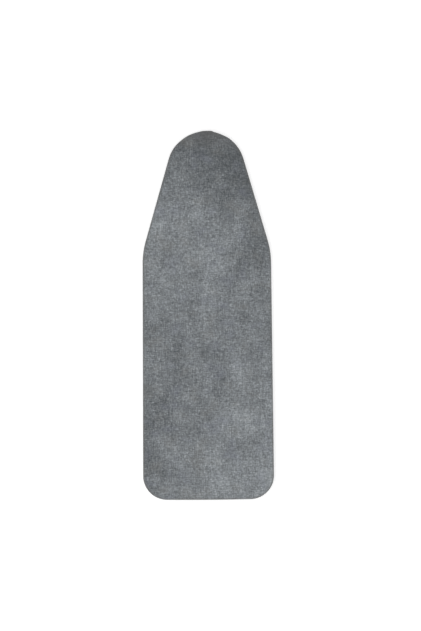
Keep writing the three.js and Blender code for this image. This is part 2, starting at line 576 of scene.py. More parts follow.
@dataclass(frozen=True)
class MarledCotton:
    """The cover's cotton: dark and light yarns in a plain weave, slubs, clouds of tone and painted
    shade.
    """

    dark: Colour = grey(63, 67, 70)
    light: Colour = grey(195, 201, 205)
    cool: Colour = grey(121, 125, 138)
    warm: Colour = grey(134, 132, 126)
    # Painted shade, a little warm, mixed in on the rolled edge, the side, the underside and the
    # nose tip.
    turned: Colour = grey(106, 104, 101)
    pitch: float = 0.8 * MM
    level: float = 0.691
    contrast: float = 2.2
    headroom: float = 1.6
    weft: Noise = Noise((95.0, 235.0, 240.0), roughness=0.6, weight=0.65)
    warp: Noise = Noise((235.0, 95.0, 240.0), roughness=0.6, weight=0.65)
    weft_run: Noise = Noise((30.0, 400.0, 380.0), detail=1.0, weight=0.32)
    warp_run: Noise = Noise((400.0, 30.0, 380.0), detail=1.0, weight=0.32)
    slub: Noise = Noise((170.0, 180.0, 175.0), detail=3.0, roughness=0.6, weight=0.48)
    cloud: Noise = Noise((16.0, 12.0, 15.0), detail=3.0, weight=0.44, start=(55.3, 379.8, 11.55))
    drift: Noise = Noise((7.0, 6.0, 7.0), detail=1.0, weight=0.16, start=(381.2, 254.9, 5.39))
    weft_thread: Noise = Noise((240.0, 1250.0, 1250.0), detail=1.0)
    warp_thread: Noise = Noise((1250.0, 240.0, 1250.0), detail=1.0)
    thread_weight: float = 0.24
    thread_on_top: Ramp = Ramp(0.35, 0.65)
    knot: Noise = Noise((230.0, 260.0, 250.0), detail=1.0)
    knot_shade: Ramp = Ramp(0.62, 0.74, to_high=0.11)
    hue: Noise = Noise((17.0, 21.0, 19.0))
    cool_share: Ramp = Ramp(0.56, 0.72, to_high=0.24)
    warm_share: Ramp = Ramp(0.44, 0.30, to_high=0.14)
    # Where that painted shade goes: from just below the face's edge over the roll, side and
    # underside, and at the nose tip.
    painted_edge_shade: Ramp = Ramp(0.0, 3 * MM, to_low=0.04, to_high=0.42)
    painted_nose_tip_shade: Ramp = Ramp(0.55, 0.625, to_high=0.45)
    # Painted light and shade over the face: a saddle about this middle, darker at the nose and
    # sides, lighter at the tail.
    painted_lean_middle: float = -0.07
    painted_nose_fall: Ramp = Ramp(0.30, 0.66, to_high=-0.28)
    painted_left_fall: Ramp = Ramp(-0.06, -0.20, to_high=-0.07)
    painted_right_fall: Ramp = Ramp(0.0, 0.20, to_high=-0.06)
    painted_tail_light: Ramp = Ramp(-0.38, -0.62, to_high=0.085)
    weave_relief: float = 0.55
    slub_relief: float = 0.9
    relief: float = 0.16 * MM
    relief_strength: float = 0.8
    roughness: Pair = (0.84, 0.96)
    sheen: float = 0.12
    sheen_roughness: float = 0.6

    def make(self) -> Finish:
        """Builds the material.

        Returns:
            The finished cotton.
        """
        r = Recipe("marled_cotton", roughness=0.9, specular=0.25)
        place = r.cloth()
        x, y, down = r.split(place)
        weave = r.weave(r.cloth("grain"), self.pitch)
        slub = r.noise(place, self.slub)
        # The tone: the yarns' marl plus the painted light and shade.
        shade = r.math("ADD", self.yarns(r, place, weave, slub), self.painted_light_and_shade(r, x, y))
        level = r.math("MAXIMUM", r.math("ADD", shade, self.level), 0.0)
        tone = r.remap(r.math("POWER", level, self.contrast), Ramp(0.0, self.headroom))
        base = r.mix(tone, self.dark, self.light)
        hue = r.noise(place, self.hue)
        base = r.mix(r.remap(hue, self.cool_share), base, self.cool)
        base = r.mix(r.remap(hue, self.warm_share), base, self.warm)
        # Painted shade, a little warm, on the rolled edge, the side, the underside and the nose
        # tip.
        rim = r.math("MAXIMUM", r.remap(down, self.painted_edge_shade), r.remap(y, self.painted_nose_tip_shade))
        r.colour(r.mix(rim, base, self.turned))
        r.rough(slub, self.roughness)
        woven = r.math("MULTIPLY", weave, self.weave_relief)
        spun = r.math("MULTIPLY", slub, self.slub_relief)
        r.bump(r.math("ADD", woven, spun), self.relief, self.relief_strength)
        r.shader.inputs["Sheen Weight"].default_value = self.sheen
        r.shader.inputs["Sheen Roughness"].default_value = self.sheen_roughness
        return r.material

    def yarns(self, r: Recipe, place: Socket, weave: Socket, slub: Socket) -> Socket:
        """The marl itself: streaks both ways of the weave, slubs, threads, clouds and knots.

        Args:
            r: The material in the making.
            place: The place on the cloth.
            weave: The height of the weave.
            slub: The noise of the slubs.

        Returns:
            What the yarns add to the shade.
        """
        threads = [r.noise(place, noise) for noise in (self.weft_thread, self.warp_thread)]
        thread = r.between(r.remap(weave, self.thread_on_top), *threads)
        parts = [(slub, self.slub.weight), (thread, self.thread_weight)]
        for noise in (self.weft, self.warp, self.weft_run, self.warp_run, self.cloud, self.drift):
            parts.append((r.noise(place, noise), noise.weight))
        knot = r.remap(r.noise(place, self.knot), self.knot_shade)
        return r.math("ADD", r.weighted(parts), knot)

    def painted_light_and_shade(self, r: Recipe, x: Socket, y: Socket) -> Socket:
        """The broad painted light and shade: darker at the nose and sides, and turning over
        lengthways.

        Args:
            r: The material in the making.
            x: The place over the cover.
            y: The place along it.

        Returns:
            What the painted light and shade add to the tone.
        """
        # A saddle of painted light and shade: the left lighter towards the nose, the right lighter
        # towards the tail.
        past_middle = r.math("SUBTRACT", y, self.painted_lean_middle)
        total = r.math("MULTIPLY", r.math("MULTIPLY", x, past_middle), -1.0)
        falls = (self.painted_nose_fall, self.painted_left_fall, self.painted_right_fall, self.painted_tail_light)
        for number, fall in zip((y, x, x, y), falls):
            total = r.math("ADD", total, r.remap(number, fall))
        return total


@dataclass(frozen=True)
class BindingTape:
    """The folded tape on the hem: a plain, closer weave in one darker grey."""

    base: Colour = grey(84, 87, 91)
    worn: Colour = grey(112, 115, 118)
    pitch: float = 0.5 * MM
    wear: Noise = Noise((60.0, 60.0, 1.0), detail=3.0, roughness=0.6, weight=0.9)
    yarn: Noise = Noise((900.0, 260.0, 1.0), weight=0.7)
    worn_share: float = 0.4
    relief: float = 0.1 * MM
    roughness: Pair = (0.78, 0.92)

    def make(self) -> Finish:
        """Builds the material.

        Returns:
            The finished tape.
        """
        r = Recipe("binding_tape", roughness=0.85)
        place = r.cloth()
        wear, yarn = r.noise(place, self.wear), r.noise(place, self.yarn)
        shade = r.weighted([(wear, self.wear.weight), (yarn, self.yarn.weight)])
        r.colour(r.mix(r.math("ADD", shade, self.worn_share), self.base, self.worn))
        r.rough(yarn, self.roughness)
        r.bump(r.weave(place, self.pitch), self.relief, strength=0.8)
        return r.material


@dataclass(frozen=True)
class NeedledFelt:
    """The felt pad: pale matted fibres with the small dimples of the needling."""

    base: Colour = grey(217, 214, 205)
    fibre: Colour = grey(238, 236, 229)
    fleck: Colour = grey(168, 163, 152)
    along: Noise = Noise((900.0, 160.0, 300.0), detail=3.0, roughness=0.6, weight=1.3, turn=0.5)
    across: Noise = Noise((170.0, 950.0, 300.0), detail=3.0, roughness=0.6, weight=1.3, turn=0.4)
    mat: Noise = Noise((45.0, 45.0, 45.0), detail=3.0)
    stray: Noise = Noise((330.0, 1400.0, 500.0), detail=1.0, turn=1.1)
    stray_share: Ramp = Ramp(0.66, 0.74, to_high=0.55)
    fibre_share: float = 0.5
    needles: float = 420.0
    needle_mark: Ramp = Ramp(0.0, 0.45, to_high=0.5)
    relief: float = 0.3 * MM
    roughness: Pair = (0.9, 1.0)

    def make(self) -> Finish:
        """Builds the material.

        Returns:
            The finished felt.
        """
        r = Recipe("needled_felt", roughness=0.96, specular=0.15)
        place = r.place()
        noises = (self.along, self.across, self.mat)
        along, across, mat = (r.noise(place, noise) for noise in noises)
        shade = r.weighted(list(zip((along, across, mat), (noise.weight for noise in noises))))
        base = r.mix(r.math("ADD", shade, self.fibre_share), self.base, self.fibre)
        stray = r.remap(r.noise(place, self.stray), self.stray_share)
        r.colour(r.mix(stray, base, self.fleck))
        r.rough(along, self.roughness)
        matted = r.math("MULTIPLY", r.math("ADD", along, across), 0.5)
        dimples = r.remap(r.cells(place, self.needles), self.needle_mark)
        r.bump(r.math("ADD", matted, dimples), self.relief, strength=0.7)
        return r.material


@dataclass(frozen=True)
class PadFoam:
    """The foam pad: cream open cells, with painted shade in their pits."""

    base: Colour = grey(222, 216, 196)
    pit_shade: Colour = grey(186, 176, 150)
    cell_count: float = 900.0
    pit_depth: Ramp = Ramp(0.0, 0.6, to_low=1.0, to_high=0.0)
    pit_shade_share: float = 0.7
    patches: Noise = Noise((30.0, 30.0, 30.0))
    relief: float = 0.4 * MM
    roughness: Pair = (0.9, 1.0)

    def make(self) -> Finish:
        """Builds the material.

        Returns:
            The finished foam.
        """
        r = Recipe("pad_foam", roughness=0.95, specular=0.2)
        place = r.place()
        cells = r.cells(place, self.cell_count)
        # Painted shade: each cell darker in its pit, where the bump is lowest.
        painted_pits = r.math("MULTIPLY", r.remap(cells, self.pit_depth), self.pit_shade_share)
        r.colour(r.mix(painted_pits, self.base, self.pit_shade))
        r.rough(r.noise(place, self.patches), self.roughness)
        r.bump(cells, self.relief)
        return r.material


@dataclass(frozen=True)
class Webbing:
    """Ribbed or braided narrow fabric with painted groove shade. It runs along X, across it is Y.
    """

    name: str
    base: Colour
    light: Colour
    rib: float = 1.6 * MM
    pick: float = 0.9 * MM
    # How strongly painted shade darkens the grooves between the ribs and between the picks.
    rib_painted_shade: float = 0.35
    pick_painted_shade: float = 0.25
    wear: Noise = Noise((40.0, 700.0, 1.0), weight=0.8)
    fuzz: Noise = Noise((800.0, 800.0, 1.0), weight=0.5)
    light_share: float = 0.35
    rib_relief: float = 0.6
    pick_relief: float = 0.4
    relief: float = 0.22 * MM
    roughness: Pair = (0.7, 0.9)

    def make(self) -> Finish:
        """Builds the material.

        Returns:
            The finished webbing.
        """
        r = Recipe(self.name, roughness=0.8)
        place = r.cloth()
        x, y, _ = r.split(place)
        rib = r.wave(y, self.rib)
        pick = r.wave(r.math("ADD", x, r.math("MULTIPLY", rib, self.pick / 2)), self.pick)
        wear, fuzz = r.noise(place, self.wear), r.noise(place, self.fuzz)
        # Painted shade in the grooves of the ribs and picks, with the webbing's own wear and fuzz.
        shade = r.weighted([(rib, self.rib_painted_shade), (pick, self.pick_painted_shade),
                            (wear, self.wear.weight), (fuzz, self.fuzz.weight)])
        r.colour(r.mix(r.math("ADD", shade, self.light_share), self.base, self.light))
        r.rough(wear, self.roughness)
        ribs = r.math("MULTIPLY", rib, self.rib_relief)
        picks = r.math("MULTIPLY", pick, self.pick_relief)
        r.bump(r.math("ADD", ribs, picks), self.relief)
        return r.material


@dataclass(frozen=True)
class Filaments:
    """Nylon threads, hooks or loops, a little lighter where they catch dust."""

    name: str
    base: Colour
    light: Colour
    roughness: float = 0.6
    dust_patches: float = 500.0
    dust_share: Ramp = Ramp(0.35, 0.7)
    ply: float = 0.45 * MM
    ply_turn: float = 0.8
    relief: float = 0.06 * MM

    def make(self) -> Finish:
        """Builds the material.

        Returns:
            The finished nylon.
        """
        r = Recipe(self.name, self.roughness, specular=0.45)
        place = r.place()
        dust = r.noise(place, Noise((self.dust_patches,) * 3, detail=3.0, roughness=0.6))
        r.colour(r.mix(r.remap(dust, self.dust_share), self.base, self.light))
        r.rough(dust, (self.roughness - 0.08, self.roughness + 0.1))
        twisted = r.stretched(place, Noise((1.0, 1.0, 1.0), turn=self.ply_turn))
        r.bump(r.wave(r.split(twisted)[0], self.ply), self.relief)
        return r.material


# The outline and what is drawn in below it


@dataclass(frozen=True)
class Corner:
    """A corner point of the outline, with its rounding radius and the number of its gathers."""

    at: Pair
    radius: float
    gathers: int = 0


@dataclass(frozen=True)
class Unevenness:
    """Waves along the outline that make gathers uneven: their seed, middle length and strength."""

    seed: int
    period: float
    strength: float


@dataclass
class Outline:
    """The cover's outline from above, cut into stations, clockwise from the nose."""

    length: float = 1.250
    tail_width: float = 0.444
    shoulder_width: float = 0.435
    nose_radius: float = 0.132
    shoulder_radius: float = 0.285
    corner_radius: float = 0.081
    flank_angle: float = math.radians(16.1)
    tail_bow: float = 0.003
    tail_bow_share: float = 0.9
    nose_gathers: int = 24
    corner_gathers: int = 7
    steps_per_gather: int = 12
    straight_step: float = 4 * MM
    straight_gathers: float = 34.0
    calm_reach: float = 22 * MM
    broad_jitter: Unevenness = Unevenness(11, 0.05, 0.22)
    fine_jitter: Unevenness = Unevenness(12, 0.022, 0.12)
    uneven_waves: int = 8
    uneven_span: Pair = (0.55, 1.6)
    uneven_level: float = 3.2
    spine_tail: float = -0.465
    spine_nose: float = 0.493
    nose_slack: tuple[Pair, ...] = (
        (-112 * MM, 0.0), (-86 * MM, 1.6 * MM), (-27 * MM, 1.6 * MM), (-9 * MM, 0.2 * MM),
        (6 * MM, 0.1 * MM), (20 * MM, -1.3 * MM), (27 * MM, 1.4 * MM), (56 * MM, 1.9 * MM),
        (76 * MM, 0.4 * MM), (110 * MM, 0.0),
    )
    slack_reach: float = 2.5 * MM
    point: Array = field(init=False)
    inwards: Array = field(init=False)
    run: Array = field(init=False)
    perimeter: float = field(init=False)
    curl: Array = field(init=False)
    phase: Array = field(init=False)

    def __post_init__(self) -> None:
        """Cuts the outline into stations and lays the gathers along it."""
        half = self.right_half()
        mirrored = [(-x, y, -nx, ny, density) for x, y, nx, ny, density in reversed(half[1:-1])]
        rows = np.array(half + mirrored)
        self.point = rows[:, 0:2]
        self.inwards = rows[:, 2:4]
        step = np.linalg.norm(np.roll(self.point, -1, axis=0) - self.point, axis=1)
        self.run = np.concatenate([[0.0], np.cumsum(step)[:-1]])
        self.perimeter = float(step.sum())
        gathered = rows[:, 4] > 0
        self.curl = self.blurred(np.where(gathered, 1.0, 0.0), self.calm_reach)
        density = np.where(gathered, rows[:, 4], self.straight_gathers)
        density = self.blurred(density, self.calm_reach)
        jitter = 1 + self.along(self.broad_jitter) + self.along(self.fine_jitter)
        waves = np.concatenate([[0.0], np.cumsum(density * jitter * step)])
        even = 2 * round(waves[-1] / 2)
        self.phase = 2 * np.pi * waves[:-1] * even / waves[-1]
        self.point = self.point + self.inwards * self.slack()[:, None]

    def slack(self) -> Array:
        """How far the cloth round the nose lies inside the true arc, beside its small flat.

        Returns:
            One distance for each station, in metres.
        """
        across, inside = zip(*self.nose_slack)
        depth = np.interp(self.point[:, 0], across, inside)
        round_nose = self.point[:, 1] > self.length / 2 - self.nose_radius
        return self.blurred(np.where(round_nose, depth, 0.0), self.slack_reach)

    def along(self, spread: Unevenness) -> Array:
        """Unevenness that closes on itself round the outline, mostly within its strength.

        Args:
            spread: The waves that make it up.

        Returns:
            One number for each station.
        """
        rng = np.random.default_rng(spread.seed)
        total = np.zeros(len(self.run))
        for _ in range(self.uneven_waves):
            waves = round(self.perimeter / spread.period * rng.uniform(*self.uneven_span))
            turns = 2 * np.pi * waves * self.run / self.perimeter
            total += np.sin(turns + rng.uniform(0, 2 * np.pi))
        return spread.strength * (total / self.uneven_level)

    def blurred(self, values: Array, reach: float) -> Array:
        """Smooths values along the outline, over a reach in metres.

        Args:
            values: One number for each station.
            reach: How far the smoothing reaches, in metres.

        Returns:
            The smoothed numbers.
        """
        gap = np.abs(self.run[:, None] - self.run[None, :])
        gap = np.minimum(gap, self.perimeter - gap)
        weight = np.exp(-0.5 * (gap / reach) ** 2)
        step = np.gradient(self.run)
        weight *= np.abs(step)[None, :]
        return (weight @ values) / weight.sum(axis=1)

    def corners(self) -> list[Corner]:
        """The corner points, clockwise from the nose.

        Returns:
            The nose, the right side, the bowed tail and the left side.
        """
        nose_centre = self.length / 2 - self.nose_radius
        apex = nose_centre + self.nose_radius / math.sin(self.flank_angle)
        shoulder = apex - self.shoulder_width / 2 / math.tan(self.flank_angle)
        slope = math.atan2(self.tail_bow, self.tail_width / 2)
        bow = self.tail_bow_share * (self.tail_width / 2 - self.corner_radius) / math.tan(slope)
        tail = -self.length / 2 - bow * (1 / math.cos(slope) - 1)

        def side(sign: int) -> list[Corner]:
            """The two corners on one side.

            Args:
                sign: The side: 1 is the right and -1 the left.

            Returns:
                The shoulder and the tail corner.
            """
            return [
                Corner((sign * self.shoulder_width / 2, shoulder), self.shoulder_radius),
                Corner((sign * self.tail_width / 2, tail + self.tail_bow), self.corner_radius,
                       self.corner_gathers),
            ]

        nose = Corner((0.0, apex), self.nose_radius, self.nose_gathers)
        return [nose, *side(1), Corner((0.0, tail), bow), *reversed(side(-1))]

    def arc(self, i: int) -> list[tuple[float, ...]]:
        """Stations round one corner: place, way inwards, and gathers per metre.

        Args:
            i: The corner's number.

        Returns:
            One row for each station.
        """
        corners = self.corners()
        corner, before, after = corners[i], corners[i - 1], corners[(i + 1) % len(corners)]
        at = np.array(corner.at)
        arriving = at - np.array(before.at)
        arriving /= np.linalg.norm(arriving)
        leaving = np.array(after.at) - at
        leaving /= np.linalg.norm(leaving)
        turn = math.acos(float(arriving @ leaving))
        inwards = np.array([arriving[1], -arriving[0]])
        centre = at - arriving * corner.radius * math.tan(turn / 2) + inwards * corner.radius
        length = corner.radius * turn
        even_steps = 2 * math.ceil(length / self.straight_step / 2)
        steps = corner.gathers * self.steps_per_gather or even_steps
        made = []
        for step in range(steps + 1):
            angle = -turn * step / steps
            way = np.array([
                inwards[0] * math.cos(angle) - inwards[1] * math.sin(angle),
                inwards[0] * math.sin(angle) + inwards[1] * math.cos(angle),
            ])
            place = centre - way * corner.radius
            made.append((*place, *way, corner.gathers / length))
        return made

    def right_half(self) -> list[tuple[float, ...]]:
        """Stations from the nose's tip down the right side to the tail's middle.

        Returns:
            One row for each station, as arc() gives them.
        """
        nose, shoulder, corner, bow = (self.arc(i) for i in range(4))
        stretches = [nose[len(nose) // 2:], shoulder, corner, bow[: len(bow) // 2 + 1]]
        made = list(stretches[0])
        for stretch in stretches[1:]:
            start, end = np.array(made[-1][:4]), np.array(stretch[0][:4])
            count = math.ceil(np.linalg.norm(end[:2] - start[:2]) / self.straight_step)
            for step in range(1, count):
                made.append((*(start + (end - start) * step / count), 0.0))
            made += stretch
        made[0] = (0.0, self.length / 2, 0.0, -1.0, made[0][4])
        made[-1] = (0.0, -self.length / 2, 0.0, 1.0, 0.0)
        return made

    def half_width(self, y: float) -> float:
        """Half the cover's width at a place along its straight sides."""
        shoulder, corner = self.corners()[1:3]
        share = (y - shoulder.at[1]) / (corner.at[1] - shoulder.at[1])
        return shoulder.at[0] + share * (corner.at[0] - shoulder.at[0])

    def ring(self, inset: float, height: Array | float) -> Array:
        """The outline moved inwards, at a height, as one row for each station."""
        flat = self.point + self.inwards * inset
        return np.column_stack([flat, np.broadcast_to(height, len(flat))])

    def spine(self, height: float) -> Array:
        """The cover's middle line at a height, as one place for each station."""
        y = np.clip(self.point[:, 1], self.spine_tail, self.spine_nose)
        return np.column_stack([np.zeros(len(y)), y, np.full(len(y), height)])

    def lay(self, across: float) -> Array:
        """Each station's place on a tape that runs round the outline, this far over its width."""
        return np.column_stack([self.run, np.full_like(self.run, across), np.zeros_like(self.run)])


@dataclass
class Hem:
    """The tuck below the board: its height and insets, and how its gathers hang."""

    outline: Outline
    height: float = 7.9 * MM
    cotton_half: float = 0.5 * MM
    face: float = 42 * MM
    turn_radius: float = 8 * MM
    edge_radius: float = 10 * MM
    tuck: float = 60 * MM
    elastic_inner: float = 58.7 * MM
    elastic_outer: float = 52.7 * MM
    cotton_edge: float = 52.2 * MM
    tape_edge: float = 46.2 * MM
    broad_fold: float = 2.3 * MM
    fine_fold: float = 3.5 * MM
    broad_calm: float = 0.5 * MM
    fine_calm: float = 1.2 * MM
    broad_sway: Unevenness = Unevenness(21, 0.06, 0.7)
    broad_spread: Unevenness = Unevenness(22, 0.04, 0.25)
    broad_fullness: Pair = (0.4, 0.8)
    fine_spread: Unevenness = Unevenness(23, 0.03, 0.22)
    fine_fullness: Pair = (0.45, 0.82)
    fine_sharpness: float = 0.85
    broad_growth: float = 0.7
    fine_start: float = 0.3
    quiet_share: float = 0.55
    quiet_near_straps: float = 26 * MM
    strap_places: tuple[float, ...] = (0.15, -0.1375, -0.425)

    def __post_init__(self) -> None:
        """Lays broad folds that reach far out and fine ones at the elastic."""
        line = self.outline
        calm = np.ones(len(line.phase))
        for y in self.strap_places:
            away = np.abs(line.point[:, 1] - y)
            quiet = self.quiet_near_straps
            calm *= smooth(quiet * self.quiet_share, quiet, away)
        broad = 0.5 - 0.5 * np.cos(line.phase / 2 + line.along(self.broad_sway))
        fine = (0.5 - 0.5 * np.cos(line.phase)) ** self.fine_sharpness
        vary_broad = self.varied(self.broad_spread, *self.broad_fullness)
        vary_fine = self.varied(self.fine_spread, *self.fine_fullness)
        broad_depth = self.broad_calm + (self.broad_fold - self.broad_calm) * line.curl
        fine_depth = self.fine_calm + (self.fine_fold - self.fine_calm) * line.curl
        self.broad = broad * vary_broad * calm * broad_depth
        self.fine = fine * vary_fine * calm * fine_depth

    def varied(self, spread: Unevenness, least: float, middle: float) -> Array:
        """How full the folds are at each station, as a share that is never over 1."""
        return np.clip(middle + self.outline.along(spread), least, 1.0)

    @property
    def bottom(self) -> float:
        """The height of the cotton's outer face on the tuck."""
        return self.height - self.cotton_half

    @property
    def roll_end(self) -> float:
        """The height at which the roll ends and the upright edge begins."""
        return self.face - self.edge_radius

    @property
    def wall(self) -> float:
        """The height of the cotton's upright edge between its roll and its turn."""
        return self.roll_end - (self.bottom + self.turn_radius)

    def arc_at(self, inset: float) -> float:
        """The length of cotton from the end of the roll to an inset on the flat of the tuck."""
        return self.wall + self.turn_radius * math.pi / 2 + inset - self.turn_radius

    def fold(self, arc: float) -> Array:
        """How far the folds stand off at each station, at a length of cotton below the roll."""
        share = np.clip(arc / self.arc_at(self.elastic_outer), 0.0, 1.0)
        broad = self.broad * smooth(0.0, 1.0, share) ** self.broad_growth
        return broad + self.fine * smooth(self.fine_start, 1.0, share)

    def drop(self, inset: float) -> Array:
        """How far the tuck hangs down at an inset, for each station."""
        return self.fold(self.arc_at(inset))


# The pieces


@dataclass
class DrawnCloth:
    """Cloth simulation of the cotton below its roll, cut too long for the elastic to lie flat."""

    hem: Hem
    scale: float = 10.0
    frames: int = 24
    quality: int = 9
    board_gap: float = 0.9 * MM
    lean: float = 0.05
    cap: float = 4.0 * MM
    outward_cap: float = 1.2 * MM
    lowest: float = 0.9 * MM
    pinned_inset: float = 44 * MM
    strap_reach: float = 17 * MM
    strap_ease: float = 12 * MM
    board_rise: float = 8 * MM
    board_middle: float = 0.1
    board_flat: Pair = (14 * MM, 62 * MM)
    edge_steps: int = 8
    flat_rings: int = 6
    board_skin: float = 0.2 * MM
    board_friction: float = 8.0
    cloth_skin: float = 0.25 * MM
    least_hold: float = 0.01

    def settle(self, rings: list[Array], insets: list[float], arcs: list[float]) -> list[Array]:
        """Lets the cloth find its folds.

        Args:
            rings: The drawn cloth's rings, from the end of its roll to its raw edge.
            insets: How far in each ring lies when it has no folds.
            arcs: The length of cloth from the first ring to each.

        Returns:
            The same rings with the cloth at rest.
        """
        start = np.concatenate(rings)
        count = len(rings[0])
        cloth = mesh_object("settling_cloth", [start * self.scale], strips(len(rings), count))
        cloth.shape_key_add(name="Basis")
        cut = cloth.shape_key_add(name="cut")
        cut.data.foreach_set("co", (self.cut_shape(arcs) * self.scale).ravel())
        held = cloth.vertex_groups.new(name="held")
        for number, weight in enumerate(self.held(insets)):
            if weight > self.least_hold:
                held.add([number], float(weight), "REPLACE")
        board = self.board()
        modifier = cloth.modifiers.new("cloth", "CLOTH")
        self.tune(modifier, cut)
        scene = bpy.context.scene
        for span in (scene, modifier.point_cache):
            span.frame_start, span.frame_end = 1, self.frames
        for step in range(1, self.frames + 1):
            scene.frame_set(step)
        made = cloth.evaluated_get(bpy.context.evaluated_depsgraph_get()).data
        found = np.empty(len(start) * 3, np.float32)
        made.vertices.foreach_get("co", found)
        scene.frame_set(1)
        for spare in (cloth, board):
            bpy.data.objects.remove(spare)
        settled = self.capped(start, found.reshape(-1, 3).astype(float) / self.scale)
        moved = np.linalg.norm(settled - start, axis=1).mean() / MM
        LOG.info("drawn cloth: moved by %.2f mm on average", moved)
        return list(settled.reshape(len(rings), count, 3))

    def cut_shape(self, arcs: list[float]) -> Array:
        """The cloth as it was cut, wider than the elastic lets it be: a skirt that leans in."""
        drop = math.sqrt(1 - self.lean ** 2)
        return np.concatenate([self.hem.outline.ring(self.lean * arc, -drop * arc) for arc in arcs])

    def held(self, insets: list[float]) -> Array:
        """How firmly each point is held, by the roll, the tape or a strap.

        Args:
            insets: How far in each ring lies when it has no folds.

        Returns:
            A share from 0 to 1 for each point, ring after ring.
        """
        y = self.hem.outline.point[:, 1]
        straps = np.zeros(len(y))
        loose = self.strap_reach + self.strap_ease
        for place in self.hem.strap_places:
            straps = np.maximum(straps, smooth(loose, self.strap_reach, np.abs(y - place)))
        edges = [1.0] + [float(inset >= self.pinned_inset) for inset in insets[1:]]
        return np.concatenate([np.maximum(straps, edge) for edge in edges])

    def board(self) -> bpy.types.Object:
        """The solid that the cloth is stretched over, with the edge that the cloth turns round.

        Returns:
            The board, which the cloth meets.
        """
        hem = self.hem
        bottom = hem.bottom + self.board_gap
        radius = hem.turn_radius - self.board_gap
        top = hem.roll_end + self.board_rise
        section = [(self.board_middle, top), (self.board_gap, top)]
        for angle in np.arange(self.edge_steps + 1) * math.pi / 2 / self.edge_steps:
            inset = self.board_gap + radius * (1 - math.cos(angle))
            section.append((inset, bottom + radius * (1 - math.sin(angle))))
        section += [(inset, bottom) for inset in np.linspace(*self.board_flat, self.flat_rings)]
        rings = [hem.outline.ring(*row) * self.scale for row in section]
        board = mesh_object("settling_board", rings, strips(len(rings), len(rings[0])))
        board.modifiers.new("collision", "COLLISION")
        board.collision.thickness_outer = self.board_skin * self.scale
        board.collision.cloth_friction = self.board_friction
        return board

    def tune(self, modifier: bpy.types.ClothModifier, cut: bpy.types.ShapeKey) -> None:
        """Sets the cotton's stiffness and what it meets.

        Args:
            modifier: The cloth's simulation.
            cut: The shape that it was cut to.
        """
        made = modifier.settings
        made.quality = self.quality
        made.mass = 0.25
        made.air_damping = 6.0
        made.tension_stiffness = 25.0
        made.compression_stiffness = 25.0
        made.shear_stiffness = 4.0
        made.bending_stiffness = 0.12
        made.tension_damping = made.compression_damping = made.shear_damping = 8.0
        made.bending_damping = 1.0
        made.vertex_group_mass = "held"
        made.pin_stiffness = 1.0
        made.rest_shape_key = cut
        made.effector_weights.gravity = 0.05
        modifier.collision_settings.collision_quality = 3
        modifier.collision_settings.distance_min = self.cloth_skin * self.scale
        modifier.collision_settings.use_self_collision = False

    def capped(self, start: Array, found: Array) -> Array:
        """Keeps the settled cloth near its place, above the floor and within the outline.

        Args:
            start: Where the points were.
            found: Where the simulation put them.

        Returns:
            Where they go.
        """
        move = found - start
        length = np.linalg.norm(move, axis=1)
        move *= np.minimum(1.0, self.cap / np.maximum(length, 1e-9))[:, None]
        line = self.hem.outline
        repeat = len(start) // len(line.point)
        inwards, edge = np.tile(line.inwards, (repeat, 1)), np.tile(line.point, (repeat, 1))
        settled = start + move
        outwards = -((settled[:, :2] - edge) * inwards).sum(axis=1)
        beyond = np.maximum(outwards - self.outward_cap, 0.0)
        settled[:, :2] += inwards * beyond[:, None]
        settled[:, 2] = np.maximum(settled[:, 2], self.lowest)
        return settled


